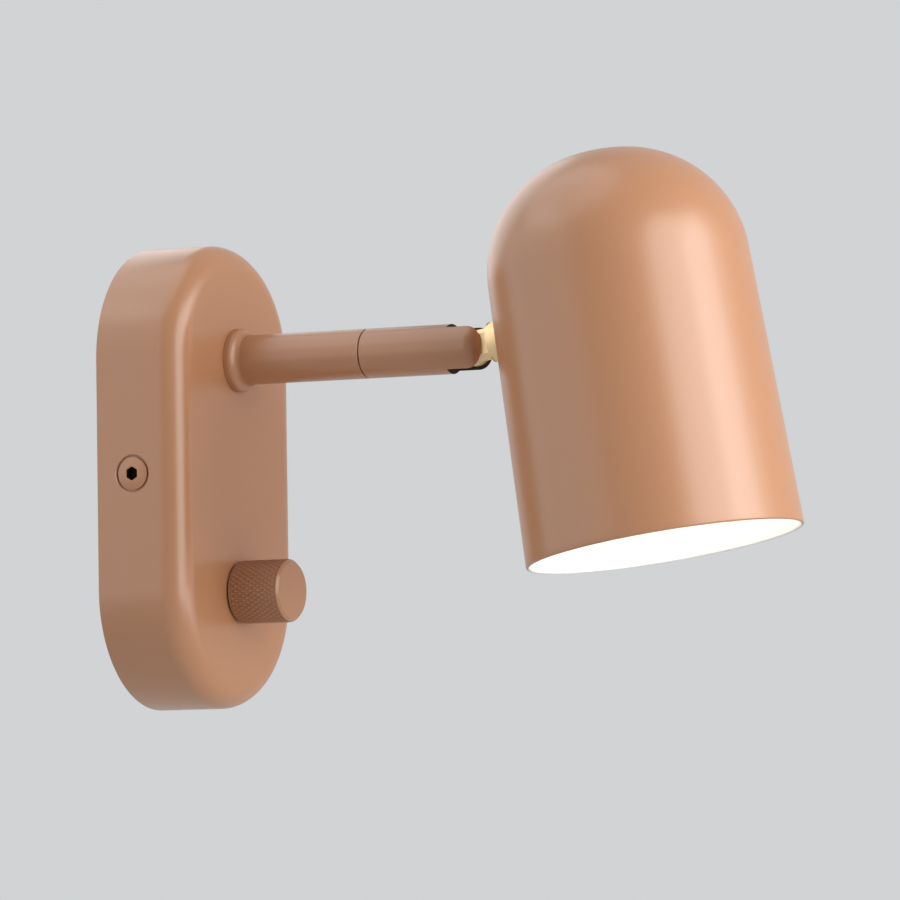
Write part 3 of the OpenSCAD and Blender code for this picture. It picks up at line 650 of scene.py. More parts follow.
@dataclass(frozen=True)
class TurnedFinish(Finish):
    """A finish with the rings of a lathe tool along a leaning axis."""

    pivot: tuple[float, float, float] = (0.0, 0.0, 0.0)
    lean: float = 0.0
    rings: float = 6000.0
    groove: Color = (0.5, 0.5, 0.5)

    def marked(self, wiring: Wiring, grain: bpy.types.Node) -> tuple[bpy.types.NodeSocket, bpy.types.NodeSocket]:
        """Lays the rings over the grain.

        Args:
            wiring: The material's wiring.
            grain: The grain group's node.

        Returns:
            The colour's and the height's outputs.
        """
        place = wiring.add("ShaderNodeTexCoord").outputs["Object"]
        inputs = {"Vector": place, "Location": self.pivot, "Rotation": (-math.radians(self.lean), 0, 0)}
        own = wiring.add("ShaderNodeMapping", inputs, vector_type="TEXTURE").outputs[0]
        along = wiring.add("ShaderNodeSeparateXYZ", {0: own}).outputs["Y"]
        marks = wiring.add("ShaderNodeGroup", node_tree=turned_marks())
        wiring.tree.links.new(along, marks.inputs["Along"])
        wiring.tree.links.new(grain.outputs["Color"], marks.inputs["Main Color"])
        marks.inputs["Rings per Metre"].default_value = self.rings
        marks.inputs["Groove Color"].default_value = (*self.groove, 1)
        return marks.outputs["Color"], marks.outputs["Height"]


PIVOT = joint_place("shade_tilt")
LEAN = 9.4

PAINT = Finish(
    "satin_terracotta_paint", Slot.PAINT, (0.485, 0.226, 0.111), (0.475, 0.221, 0.108), 0.31,
    spread=0.04, drift_scale=14.0, grain_scale=1400.0, bump=0.003, specular=0.68,
)
# Painted shade: the knurl's teeth turn darker towards the grooves' radius.
KNURL_GROOVE_SHADE_PAINT = GrooveShadeFinish(
    "knurled_terracotta_paint_groove_shade", Slot.PAINT, (0.485, 0.226, 0.111), (0.475, 0.221, 0.108), 0.36,
    spread=0.04, drift_scale=14.0, grain_scale=1400.0, bump=0.002, specular=0.5,
    axis_height=joint_place("knob_turn").z * METRES,
    groove_radius=9.90 * METRES, crest_radius=10.22 * METRES, groove=(0.27, 0.118, 0.054),
)
ENAMEL = Finish(
    "white_enamel", Slot.PAINT, (0.86, 0.85, 0.82), (0.83, 0.82, 0.79), 0.35,
    grain_scale=1200.0, bump=0.003,
)
BRASS = Finish(
    "plain_brass", Slot.BRASS, (0.80, 0.60, 0.28), (0.70, 0.50, 0.22), 0.28,
    spread=0.1, metallic=1.0, drift_scale=90.0, grain_scale=2500.0, bump=0.002,
)
TURNED_BRASS = TurnedFinish(
    "turned_brass", Slot.BRASS, (0.89, 0.69, 0.43), (0.85, 0.65, 0.39), 0.6,
    spread=0.06, metallic=1.0, drift_scale=60.0, grain_scale=2500.0, bump=0.0015,
    pivot=tuple(PIVOT * METRES), lean=LEAN, groove=(0.82, 0.62, 0.36),
)
STEEL = Finish(
    "plated_steel", Slot.STEEL, (0.62, 0.63, 0.65), (0.52, 0.54, 0.57), 0.32,
    spread=0.12, metallic=1.0, drift_scale=120.0, grain_scale=2200.0, bump=0.002,
)
# Painted shade: a near-black sheet in the side screws' hexagon sockets, where shade falls.
SOCKET_SHADE = Finish(
    "socket_painted_shade", Slot.STEEL, (0.014, 0.010, 0.006), (0.011, 0.008, 0.005), 0.8,
    grain_scale=1500.0, bump=0.003, specular=0.1,
)
# Painted shade: a near-black brown laid on the faces of the arm head's slot, where shade falls between the cheeks.
SLOT_SHADE = Finish(
    "slot_painted_shade", Slot.PAINT, (0.050, 0.029, 0.020), (0.042, 0.025, 0.017), 0.6,
    grain_scale=1500.0, bump=0.003, specular=0.3,
)
NYLON = Finish(
    "brown_nylon", Slot.NYLON, (0.30, 0.17, 0.09), (0.26, 0.15, 0.08), 0.5,
    grain_scale=1500.0, bump=0.004,
)
RUBBER = Finish(
    "black_rubber", Slot.RUBBER, (0.022, 0.022, 0.023), (0.030, 0.030, 0.031), 0.68,
    grain_scale=1800.0, bump=0.008,
)
SHEATH = Finish(
    "cable_sheath", Slot.CABLE, (0.018, 0.018, 0.019), (0.026, 0.026, 0.027), 0.5,
    grain_scale=1300.0, bump=0.006,
)
WHITE_PLASTIC = Finish(
    "moulded_white", Slot.WHITE_PLASTIC, (0.78, 0.78, 0.75), (0.74, 0.74, 0.71), 0.3,
    grain_scale=1000.0, bump=0.004,
)
BLACK_PLASTIC = Finish(
    "moulded_black", Slot.BLACK_PLASTIC, (0.018, 0.018, 0.018), (0.026, 0.025, 0.024), 0.42,
    grain_scale=1100.0, bump=0.006,
)
OPAL = Finish(
    "lit_opal_glass", Slot.OPAL_GLASS, (1.0, 0.97, 0.92), (1.0, 0.96, 0.90), 0.25,
    spread=0.04, grain_scale=700.0, bump=0.002, glow=4.0,
)
FINISH_OF = {
    Slot.PAINT: PAINT, Slot.STEEL: STEEL, Slot.BRASS: BRASS, Slot.NYLON: NYLON, Slot.RUBBER: RUBBER,
    Slot.CABLE: SHEATH, Slot.WHITE_PLASTIC: WHITE_PLASTIC, Slot.BLACK_PLASTIC: BLACK_PLASTIC,
    Slot.OPAL_GLASS: OPAL,
}


class Recipe:
    """A Geometry Nodes tree with named inputs, run on a piece."""

    def __init__(self, name: str, inputs: Sequence[tuple]) -> None:
        """Starts the tree.

        Args:
            name: Name of the tree.
            inputs: Name and socket type of each input after the geometry and before the material.
        """
        every = [("Geometry", "NodeSocketGeometry"), *inputs, ("Material", "NodeSocketMaterial")]
        self.tree, self.wiring, self.given = new_group(
            name, "GeometryNodeTree", every, [("Geometry", "NodeSocketGeometry")]
        )

    def close(self, instances: bpy.types.NodeSocket) -> None:
        """Ends the tree in real, dressed geometry.

        Args:
            instances: The output that holds the instances.
        """
        real = self.wiring.add("GeometryNodeRealizeInstances", {"Geometry": instances}).outputs[0]
        inputs = {"Geometry": real, "Material": self.given.outputs["Material"]}
        dressed = self.wiring.add("GeometryNodeSetMaterial", inputs).outputs[0]
        self.wiring.add("NodeGroupOutput", {0: dressed})

    def run(self, piece: Workpiece, finish: Finish, values: dict[str, float | int]) -> Workpiece:
        """Runs the tree on a piece.

        Args:
            piece: The piece that is repeated, which is used up.
            finish: The finish of the result.
            values: The inputs' values by name.

        Returns:
            The result as a plain piece.
        """
        subject = shown(piece.name, piece.mesh)
        modifier = subject.modifiers.new(self.tree.name, "NODES")
        modifier.node_group = self.tree
        sockets = {item.name: item.identifier for item in self.tree.interface.items_tree if item.in_out == "INPUT"}
        modifier[sockets["Material"]] = finish.material()
        for name, value in values.items():
            modifier[sockets[name]] = value
        return Workpiece(piece.name, taken(subject))


@functools.cache
def facing_pair() -> Recipe:
    """Builds the tree that sets a screw and its twin on the two flanks of the base.

    Returns:
        The recipe, with inputs Reach and Depth.
    """
    recipe = Recipe("facing_pair", [("Reach", "NodeSocketFloat"), ("Depth", "NodeSocketFloat")])
    wiring, given = recipe.wiring, recipe.given
    back = wiring.math("MULTIPLY", given.outputs["Depth"], -1.0)
    far = wiring.math("MULTIPLY", given.outputs["Reach"], -1.0)
    right = wiring.add("ShaderNodeCombineXYZ", {"X": given.outputs["Reach"], "Y": back}).outputs[0]
    left = wiring.add("ShaderNodeCombineXYZ", {"X": far, "Y": back}).outputs[0]
    line = wiring.add("GeometryNodeMeshLine", mode="END_POINTS")
    line.inputs["Count"].default_value = 2
    wiring.tree.links.new(right, line.inputs["Start Location"])
    wiring.tree.links.new(left, line.inputs["Offset"])
    number = wiring.add("GeometryNodeInputIndex").outputs[0]
    turn = wiring.add("ShaderNodeCombineXYZ", {"Z": wiring.math("MULTIPLY", number, math.pi)}).outputs[0]
    rotation = wiring.add("FunctionNodeEulerToRotation", {0: turn}).outputs[0]
    inputs = {"Points": line.outputs[0], "Instance": given.outputs["Geometry"], "Rotation": rotation}
    recipe.close(wiring.add("GeometryNodeInstanceOnPoints", inputs).outputs[0])
    return recipe


@functools.cache
def knurl_rows() -> Recipe:
    """Builds the tree that sets rows of teeth round a knob, each row half a tooth on from the last.

    Returns:
        The recipe, with inputs Starts, Rows, First Row, Radius, Row Pitch and Foot.
    """
    recipe = Recipe(
        "knurl_rows",
        [
            ("Starts", "NodeSocketInt"),
            ("Rows", "NodeSocketInt"),
            ("First Row", "NodeSocketInt"),
            ("Radius", "NodeSocketFloat"),
            ("Row Pitch", "NodeSocketFloat"),
            ("Foot", "NodeSocketFloat"),
        ],
    )
    wiring, given = recipe.wiring, recipe.given
    starts = given.outputs["Starts"]
    number = wiring.add("GeometryNodeInputIndex").outputs[0]
    column = wiring.math("FLOORED_MODULO", number, starts)
    passed = wiring.math("FLOOR", wiring.math("DIVIDE", wiring.math("ADD", number, 0.5), starts))
    row = wiring.math("ADD", passed, given.outputs["First Row"])
    half = wiring.math("MULTIPLY", wiring.math("FLOORED_MODULO", row, 2.0), 0.5)
    share = wiring.math("DIVIDE", wiring.math("ADD", column, half), starts)
    angle = wiring.math("MULTIPLY", share, 2 * math.pi)
    across = wiring.math("MULTIPLY", wiring.math("COSINE", angle), given.outputs["Radius"])
    beside = wiring.math("MULTIPLY", wiring.math("SINE", angle), given.outputs["Radius"])
    height = wiring.math("MULTIPLY_ADD", row, given.outputs["Row Pitch"], given.outputs["Foot"])
    place = wiring.add("ShaderNodeCombineXYZ", {"X": across, "Y": beside, "Z": height}).outputs[0]
    count = wiring.math("MULTIPLY", starts, given.outputs["Rows"])
    points = wiring.add("GeometryNodePoints", {"Count": count, "Position": place}).outputs[0]
    turn = wiring.add("ShaderNodeCombineXYZ", {"Z": angle}).outputs[0]
    rotation = wiring.add("FunctionNodeEulerToRotation", {0: turn}).outputs[0]
    inputs = {"Points": points, "Instance": given.outputs["Geometry"], "Rotation": rotation}
    recipe.close(wiring.add("GeometryNodeInstanceOnPoints", inputs).outputs[0])
    return recipe


@dataclass
class WallBase:
    """The pill-shaped cover and the two screws that hold it."""

    height: float = 150.0
    width: float = 76.0
    depth: float = 31.0
    edge: float = 8.5
    wall: float = 1.6
    lip: float = 0.35
    holding: float = 0.6
    end_steps: int = 56
    arm_hole: float = 5.2
    dimmer_hole: float = 5.2
    screw_hole: float = 3.2
    screw_depth: float = 13.0
    head_radius: float = 5.25
    head_height: float = 1.2
    dimple_radius: float = 5.95
    dimple_depth: float = 0.9
    dimple_round: float = 0.25
    socket_across: float = 4.0
    socket_depth: float = 2.1
    painted_shade_lining: float = 0.08
    thread_radius: float = 3.0
    thread_length: float = 9.0

    def outline(self, inset: float) -> list[Point]:
        """Draws the pill, drawn in all round.

        Args:
            inset: How far it is drawn in.

        Returns:
            Points of the outline as x and z.
        """
        run = (self.height - self.width) / 2
        radius = self.width / 2 - inset
        top = arc((0, run), radius, 0, 180, self.end_steps)
        bottom = arc((0, -run), radius, 180, 360, self.end_steps)
        return top + bottom

    def cover(self) -> bpy.types.Object:
        """Presses the cover out of sheet, with its holes and the dimples of its side screws.

        Returns:
            The cover's object.
        """
        inner = self.depth - self.wall
        round_in = self.edge - self.wall
        section = [(self.edge + self.holding, self.depth)]
        section += arc((self.edge, self.depth - self.edge), -self.edge, -90, 0, 18)
        section += arc((self.lip, self.lip), -self.lip, 0, 90, 3)
        section += arc((self.wall - self.lip, self.lip), -self.lip, 90, 180, 3)
        section += arc((self.edge, inner - round_in), -round_in, 0, -90, 10)
        section += [(self.edge + self.holding, inner)]
        form = bmesh.new()
        rings = []
        for inset, depth in section:
            rings.append([form.verts.new((x, -depth, z)) for x, z in self.outline(inset)])
        for low, high in zip(rings, rings[1:]):
            for i in range(len(low)):
                j = (i + 1) % len(low)
                form.faces.new((low[i], low[j], high[j], high[i]))
        form.faces.new(rings[0])
        form.faces.new(rings[-1])
        shell = Workpiece.from_bmesh("base_shell", form, Matrix())
        arm_z, knob_z = joint_place("arm_swivel").z, joint_place("knob_turn").z
        side = Matrix.Translation((0, -self.screw_depth, 0)) @ along_x()
        flank, floor = self.width / 2, self.width / 2 - self.dimple_depth
        rim = flank - self.dimple_round
        dimple = [(0, floor), (self.dimple_radius, floor), (self.dimple_radius, rim)]
        dimple += [(self.dimple_radius + self.dimple_round + 1, flank + 1), (0, flank + 1)]
        flips = [side @ Matrix.Rotation(math.radians(turn), 4, "Y") for turn in (0, 180)]
        shell.worked(
            Union.CUT,
            *[Workpiece.turned("dimple", dimple, flip, 96) for flip in flips],
            Workpiece.rod(self.arm_hole, inner - 2, self.depth + 2, out_of_wall(0, z=arm_z)),
            Workpiece.rod(self.dimmer_hole, inner - 2, self.depth + 2, out_of_wall(0, z=knob_z)),
            Workpiece.rod(self.screw_hole, -self.width, self.width, side),
        )
        return shell.finished(Body.BASE, [PAINT], "base_cover")

    def side_screws(self) -> bpy.types.Object:
        """Turns a rounded screw with a hexagon socket, lines the socket with a thin sheet of painted shade and sets it
        on both flanks.

        Returns:
            The object of both screws.
        """
        rim = 0.55 * self.head_height
        flat = 0.25 * 2 * self.head_radius
        top = self.head_height
        centre = (flat ** 2 + top ** 2 - self.head_radius ** 2 - rim ** 2) / (2 * (top - rim))
        dome = math.hypot(flat, top - centre)
        low = math.degrees(math.atan2(rim - centre, self.head_radius))
        high = math.degrees(math.atan2(top - centre, flat))
        profile = [(0, -self.thread_length), (self.thread_radius, -self.thread_length), (self.thread_radius, 0)]
        profile += [(self.head_radius - 0.15, 0), (self.head_radius, 0.15)]
        profile += arc((0, centre), dome, low, high, 14)
        profile += [(flat - 0.2, top), (0, top)]
        screw = Workpiece.turned("side_screw_pair", profile, segments=96)
        across = self.socket_across / 2 / math.cos(math.pi / 6)
        socket = Workpiece.turned(
            "socket",
            [(0, top - self.socket_depth), (across, top - self.socket_depth), (across, top + 1), (0, top + 1)],
            segments=6,
        )
        screw.worked(Union.CUT, socket).softened(0.12)
        # A thin near-black sheet inside the socket stands for the shade in it.
        floor, mouth, skin = top - self.socket_depth + 0.01, top - 0.25, self.painted_shade_lining
        painted_shade_lining = Workpiece.turned(
            "painted_shade_lining",
            [(0, floor), (across - 0.01, floor), (across - 0.01, mouth), (across - skin, mouth),
             (across - skin, floor + skin), (0, floor + skin)],
            segments=6,
        )
        screw.mesh.transform(along_x())
        painted_shade_lining.mesh.transform(along_x())
        values = {"Reach": self.width / 2 - self.dimple_depth, "Depth": self.screw_depth}
        painted_shade_linings = facing_pair().run(painted_shade_lining, SOCKET_SHADE, values).numbered(1)
        pair = facing_pair().run(screw, PAINT, values).stripped().dressed(PAINT, SOCKET_SHADE)
        return pair.added(painted_shade_linings).finished(Body.BASE, [PAINT, SOCKET_SHADE], "side_screws")

    def build(self) -> None:
        """Makes the cover and its screws."""
        self.cover()
        self.side_screws()


@dataclass
class DimmerKnob:
    """The knurled knob on the dimmer's shaft."""

    radius: float = 10.25
    back_depth: float = 31.4
    face_depth: float = 50.0
    back_chamfer: float = 0.4
    face_chamfer: float = 0.7
    starts: int = 40
    angle: float = 30.0
    depth: float = 0.35
    sink: float = 0.05
    recess_radius: float = 8.7
    web_depth: float = 35.6
    bore_radius: float = 3.05
    bore_end: float = 48.0
    shaft_flat: float = 1.5
    grub_radius: float = 1.55

    @property
    def length(self) -> float:
        """Length of the knob along its axis."""
        return self.face_depth - self.back_depth

    @property
    def low_radius(self) -> float:
        """Radius at the bottom of the grooves."""
        return self.radius - self.depth

    def tooth(self, width: float, length: float) -> Workpiece:
        """Models one diamond between the grooves, with its top a little worn.

        Args:
            width: Width round the knob.
            length: Length along the knob.

        Returns:
            The tooth, pointing to the right.
        """
        form = bmesh.new()
        rings = []
        for share, rise in ((1.0, -self.sink), (0.26, 0.88 * self.depth), (0.10, self.depth)):
            y, z = width / 2 * share, length / 2 * share
            rings.append([form.verts.new(p) for p in ((rise, y, 0), (rise, 0, z), (rise, -y, 0), (rise, 0, -z))])
        for low, high in zip(rings, rings[1:]):
            for i in range(4):
                j = (i + 1) % 4
                form.faces.new((low[i], low[j], high[j], high[i]))
        form.faces.new(rings[0])
        form.faces.new(rings[-1])
        return Workpiece.from_bmesh("tooth", form, Matrix())

    def end_tooth(self, width: float, length: float, side: int) -> Workpiece:
        """Models half a diamond, cut off by the chamfer.

        Args:
            width: Width round the knob.
            length: Length of a whole diamond.
            side: 1 at the face, -1 at the back.

        Returns:
            The tooth, pointing to the right.
        """
        reach = self.depth / (1 + 2 * self.depth / length)
        form = bmesh.new()
        right = form.verts.new((-self.sink, width / 2, 0))
        left = form.verts.new((-self.sink, -width / 2, 0))
        tip = form.verts.new((-self.sink, 0, -side * length / 2))
        peak = form.verts.new((reach, 0, -side * reach))
        for corners in ((right, left, tip), (right, tip, peak), (tip, left, peak), (left, right, peak)):
            form.faces.new(corners)
        return Workpiece.from_bmesh("end_tooth", form, Matrix())

    def knurl(self) -> list[Workpiece]:
        """Sets the teeth round the knob in rows.

        Returns:
            The whole teeth and the half teeth of both ends.
        """
        side = self.length - self.back_chamfer - self.face_chamfer
        width = 2 * math.pi * self.low_radius / self.starts
        rows = round(side * math.tan(math.radians(self.angle)) * self.starts / (math.pi * self.radius))
        length = 2 * side / rows
        common = {
            "Starts": self.starts, "Radius": self.low_radius, "Row Pitch": side / rows, "Foot": self.back_chamfer,
        }
        rings = [
            (self.tooth(width, length), rows - 1, 1),
            (self.end_tooth(width, length, -1), 1, 0),
            (self.end_tooth(width, length, 1), 1, rows),
        ]
        # The teeth take the paint with painted shade down in the grooves.
        made = [knurl_rows().run(tooth, KNURL_GROOVE_SHADE_PAINT, {**common, "Rows": n, "First Row": k}) for tooth, n, k in rings]
        return [ring.numbered(1) for ring in made]

    def build(self) -> None:
        """Turns the knob, bores it for its shaft and knurls it."""
        low, top = self.low_radius, self.length
        profile = [(0, 0), (low - self.back_chamfer, 0), (low, self.back_chamfer)]
        profile += [(low, top - self.face_chamfer), (low - self.face_chamfer, top)]
        profile += [(low - self.face_chamfer - 0.4, top), (0, top)]
        knob = Workpiece.turned("knurled_knob", profile, segments=120)
        web = self.web_depth - self.back_depth
        bore = Workpiece.rod(self.bore_radius, -1, self.bore_end - self.back_depth, Matrix())
        flat = self.bore_radius - self.shaft_flat
        keep = Workpiece.block((-8, -8, web), (8, -flat, top + 1))
        sideways = Matrix.Translation((0, 0, (web + self.bore_end - self.back_depth) / 2)) @ out_of_wall(0)
        knob.worked(
            Union.CUT,
            Workpiece.rod(self.recess_radius, -1, web, Matrix()),
            bore.worked(Union.CUT, keep),
            Workpiece.rod(self.grub_radius, 0, 2 * self.radius, sideways),
        )
        knob.added(*self.knurl())
        knob.mesh.transform(out_of_wall(self.back_depth, z=joint_place("knob_turn").z))
        knob.finished(Body.KNOB, [PAINT, KNURL_GROOVE_SHADE_PAINT], "knob")


@dataclass
class Arm:
    """The collar, the fixed tube and the slotted head of the arm."""

    radius: float = 8.0
    bore: float = 6.5
    foot_depth: float = 31.0
    tube_length: float = 48.0
    head_depth: float = 79.4
    head_length: float = 42.6
    end_round: float = 5.2
    edge: float = 0.18
    collar_radius: float = 10.25
    collar_length: float = 4.9
    collar_rim: float = 1.4
    collar_round: float = 2.0
    collar_lip: float = 0.3
    fit: float = 0.05
    slot_width: float = 8.6
    slot_depth: float = 12.5
    plug_bore: float = 6.5
    plug_depth: float = 12.8
    cable_bore: float = 3.5
    pivot_radius: float = 2.05
    pivot_reach: float = 6.8
    counterbore: float = 3.5
    counterbore_x: float = 5.6

    @property
    def height(self) -> float:
        """Height of the arm's axis."""
        return joint_place("arm_swivel").z

    def collar(self) -> None:
        """Turns the collar: a rim, a round shoulder and a hollow run-in to the tube."""
        r, bore = self.collar_radius, self.radius + self.fit
        rise = self.collar_length - self.collar_rim
        side = bore + self.collar_lip - r + self.collar_round
        hollow = (side ** 2 + rise ** 2 - self.collar_round ** 2) / (2 * (self.collar_round - side))
        round_at = (r - self.collar_round, self.collar_rim)
        hollow_at = (bore + self.collar_lip + hollow, self.collar_length)
        slope = math.degrees(math.atan2(hollow_at[1] - round_at[1], hollow_at[0] - round_at[0]))
        profile = [(bore, 0), (r - self.edge, 0), (r, self.edge)]
        profile += arc(round_at, self.collar_round, 0, slope, 10)
        profile += arc(hollow_at, hollow, 180 + slope, 180, 10)[1:]
        profile += [(bore, self.collar_length)]
        place = out_of_wall(self.foot_depth, z=self.height)
        Workpiece.turned("turned_collar", profile, place).finished(Body.BASE, [PAINT], "arm_collar")

    def tube(self) -> None:
        """Cuts the fixed tube, with its ends broken."""
        r, top = self.radius, self.tube_length
        profile = [(self.bore, 0), (r - self.edge, 0), (r, self.edge), (r, self.edge + 0.6)]
        profile += [(r, top - self.edge - 0.6), (r, top - self.edge), (r - self.edge, top), (self.bore, top)]
        place = out_of_wall(self.foot_depth, z=self.height)
        Workpiece.turned("fixed_tube", profile, place).finished(Body.BASE, [PAINT], "arm_tube")

    def head(self) -> None:
        """Turns the head, bores it, saws its slot and lays painted shade on the slot's faces."""
        r, top, end = self.radius, self.head_length, self.end_round
        profile = [(0, 0), (r - self.edge, 0), (r, self.edge), (r, self.edge + 0.6)]
        profile += arc((r - end, top - end), end, 0, 90, 16)
        profile += [(0, top)]
        place = out_of_wall(self.head_depth, z=self.height)
        head = Workpiece.turned("slotted_head", profile, place).dressed(PAINT, SLOT_SHADE)
        floor = top - self.slot_depth
        half = self.slot_width / 2
        across = Matrix.Translation(PIVOT) @ along_x()
        head.worked(
            Union.CUT,
            Workpiece.rod(self.plug_bore, -1, self.plug_depth, place),
            Workpiece.rod(self.cable_bore, -1, floor + 1, place),
            # The slot's cut faces take material 1, the painted shade.
            Workpiece.block((-half, -2 * r, floor), (half, 2 * r, top + 5), place).numbered(1),
            Workpiece.rod(self.pivot_radius, -self.pivot_reach, self.pivot_reach, across),
            Workpiece.rod(self.counterbore, self.counterbore_x, 2 * r, across),
        ).softened(0.25)
        head.finished(Body.ARM_HEAD, [PAINT, SLOT_SHADE], "arm_head")

    def build(self) -> None:
        """Makes the arm's three painted pieces."""
        self.collar()
        self.tube()
        self.head()


@dataclass
class Shade:
    """The domed shade, on an axis that leans out from the wall."""

    mouth_radius: float = 44.05
    top_radius: float = 41.5
    straight: float = 89.7
    shoulder: float = 38.2
    crown: float = 69.5
    wall: float = 1.2
    neck_drop: float = 14.0
    neck_reach: float = 13.8
    stud_hole: float = 5.2

    @property
    def taper(self) -> float:
        """Lean of the straight wall, in degrees."""
        return math.degrees(math.atan2(self.mouth_radius - self.top_radius, self.straight))

    @property
    def axis_y(self) -> float:
        """Place of the axis in front of the pivot, before the lean."""
        return -(self.neck_reach + self.top_radius + self.neck_drop * math.tan(math.radians(self.taper)))

    @property
    def tilted(self) -> Matrix:
        """The leaning frame at the pivot."""
        return Matrix.Translation(PIVOT) @ Matrix.Rotation(-math.radians(LEAN), 4, "X")

    @property
    def on_axis(self) -> Matrix:
        """The leaning frame at the top of the straight wall, on the shade's axis."""
        return self.tilted @ Matrix.Translation((0, self.axis_y, self.neck_drop))

    def along_neck(self, reach: float) -> Matrix:
        """Places a turned piece on the neck's axis.

        Args:
            reach: Distance from the pivot.

        Returns:
            The placing matrix.
        """
        return self.tilted @ out_of_wall(reach)

    def outline(self, inset: float) -> list[Point]:
        """Draws half the shade from the crown down to the mouth.

        Args:
            inset: Distance in from the outside.

        Returns:
            Points of radius and height.
        """
        lean = math.radians(self.taper)
        x = self.top_radius - self.shoulder * math.cos(lean)
        z = -self.shoulder * math.sin(lean)
        crown_z = z - math.sqrt((self.crown - self.shoulder) ** 2 - x ** 2)
        meet = math.degrees(math.atan2(z - crown_z, x))
        points = [(0.0, crown_z + self.crown - inset)]
        points += arc((0, crown_z), self.crown - inset, 90, meet, 6)[1:]
        points += arc((x, z), self.shoulder - inset, meet, self.taper, 40)[1:]
        mouth = (self.mouth_radius - inset / math.cos(lean), -self.straight)
        return points + between(points[-1], mouth, 32) + [mouth]

    def shell(self) -> None:
        """Spins the shell, paints its outside and enamels its inside."""
        outside, inside = self.outline(0), self.outline(self.wall)
        lip = 0.45 * self.wall
        outer, inner = outside.pop(), inside.pop()
        profile = outside + arc((outer[0] - lip, outer[1] + lip), lip, 0, -90, 4)
        turn = len(profile)
        profile += arc((inner[0] + lip, inner[1] + lip), lip, -90, -180, 4) + inside[::-1]
        shell = Workpiece.turned("spun_shade", profile, self.on_axis, 192, inside_from=turn)
        shell.dressed(PAINT, ENAMEL)
        hole = Workpiece.rod(self.stud_hole, self.neck_reach - 4, self.neck_reach + 6, self.along_neck(0))
        shell.worked(Union.CUT, hole)
        shell.finished(Body.SHADE, [PAINT, ENAMEL], "shade")

    def build(self) -> None:
        """Makes the shell."""
        self.shell()


@dataclass
class Knuckle:
    """The brass joint between the arm and the shade: tongue, neck, cove, boss and stud."""

    shade: Shade
    tongue_radius: float = 5.6
    tongue_width: float = 7.8
    neck_radius: float = 5.1
    boss_radius: float = 6.4
    boss_start: float = 8.5
    cove: float = 1.6
    saddle: float = 0.5
    stud_radius: float = 5.0
    stud_end: float = 21.8
    pivot_radius: float = 2.05
    bore: float = 3.0
    bore_start: float = 4.2
    channel_width: float = 3.8
    channel_start: float = 7.7
    channel_low: float = 2.2
    channel_height: float = 1.6
    overlap: float = 0.02

    def build(self) -> None:
        """Turns and mills the knuckle."""
        shade = self.shade
        flank = self.tongue_width / 2
        boss = self.boss_radius
        neck = [(0, 0), (self.neck_radius, 0)]
        neck += arc((self.neck_radius + self.cove, self.boss_start - self.cove), self.cove, 180, 90, 10)
        neck += [(0, self.boss_start)]
        body = Workpiece.turned("brass_knuckle", neck, shade.along_neck(0))
        tongue = Workpiece.rod(self.tongue_radius, -boss, boss, shade.tilted @ along_x(), 128)
        reach = 4 * self.boss_start
        body.worked(Union.JOIN, tongue)
        sides = Workpiece.block((-flank, -reach, -boss), (flank, reach, boss), shade.tilted)
        body.worked(Union.KEEP, sides)
        grow = self.saddle / math.cos(math.radians(shade.taper))
        cone = Workpiece.turned(
            "cone",
            [
                (0, -shade.straight), (shade.mouth_radius + grow, -shade.straight),
                (shade.top_radius + grow, 0), (0, 0),
            ],
            shade.on_axis, 256,
        )
        low, high = self.boss_start - self.overlap, shade.neck_reach + 4
        disc = Workpiece.rod(boss, low, high, shade.along_neck(0), 128)
        stud = Workpiece.rod(self.stud_radius, self.boss_start + 1, self.stud_end, shade.along_neck(0), 120)
        disc.worked(Union.CUT, cone).worked(Union.JOIN, stud).softened(0.15)
        body.worked(Union.JOIN, disc)
        low = (-self.channel_width / 2, -self.channel_start, self.channel_low)
        high = (self.channel_width / 2, reach, self.channel_low + self.channel_height)
        body.worked(
            Union.CUT,
            Workpiece.rod(self.pivot_radius, -reach, reach, shade.tilted @ along_x()),
            Workpiece.rod(self.bore, self.bore_start, 2 * reach, shade.along_neck(0)),
            Workpiece.block(low, high, shade.tilted),
        )
        body.finished(Body.SHADE, [TURNED_BRASS], "knuckle")


@dataclass
class Bulb:
    """The lit opal globe in the shade."""

    shade: Shade
    radius: float = 22.5
    wall: float = 1.2
    rim_radius: float = 14.0

    def build(self) -> None:
        """Blows the globe."""
        low, high = (Vector(corner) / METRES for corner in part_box("bulb_globe"))
        middle = (low + high) / 2
        local = shade_local(self.shade, Vector((0, middle.y, middle.z)))
        lean = math.radians(LEAN)
        reach = self.radius + math.sqrt(self.radius ** 2 - self.rim_radius ** 2)
        centre = local.z - (reach / 2 - self.radius) * math.cos(lean)
        edge = math.degrees(math.acos(self.rim_radius / self.radius))
        inner = math.degrees(math.acos((self.rim_radius - self.wall) / (self.radius - self.wall)))
        profile = arc((0, centre), self.radius, -90, edge, 36)
        profile += arc((0, centre), self.radius - self.wall, inner, -90, 32)
        profile[0] = (0.0, profile[0][1])
        profile[-1] = (0.0, profile[-1][1])
        globe = Workpiece.turned("opal_globe", profile, self.shade.on_axis, 96)
        globe.finished(Body.SHADE, [OPAL], "bulb_globe")


def shade_local(shade: Shade, place: Vector) -> Vector:
    """Turns a place on the lamp into one on the shade's axis.

    Args:
        shade: The shade.
        place: The place in millimetres.

    Returns:
        The place in the shade's own frame.
    """
    return shade.on_axis.inverted() @ place


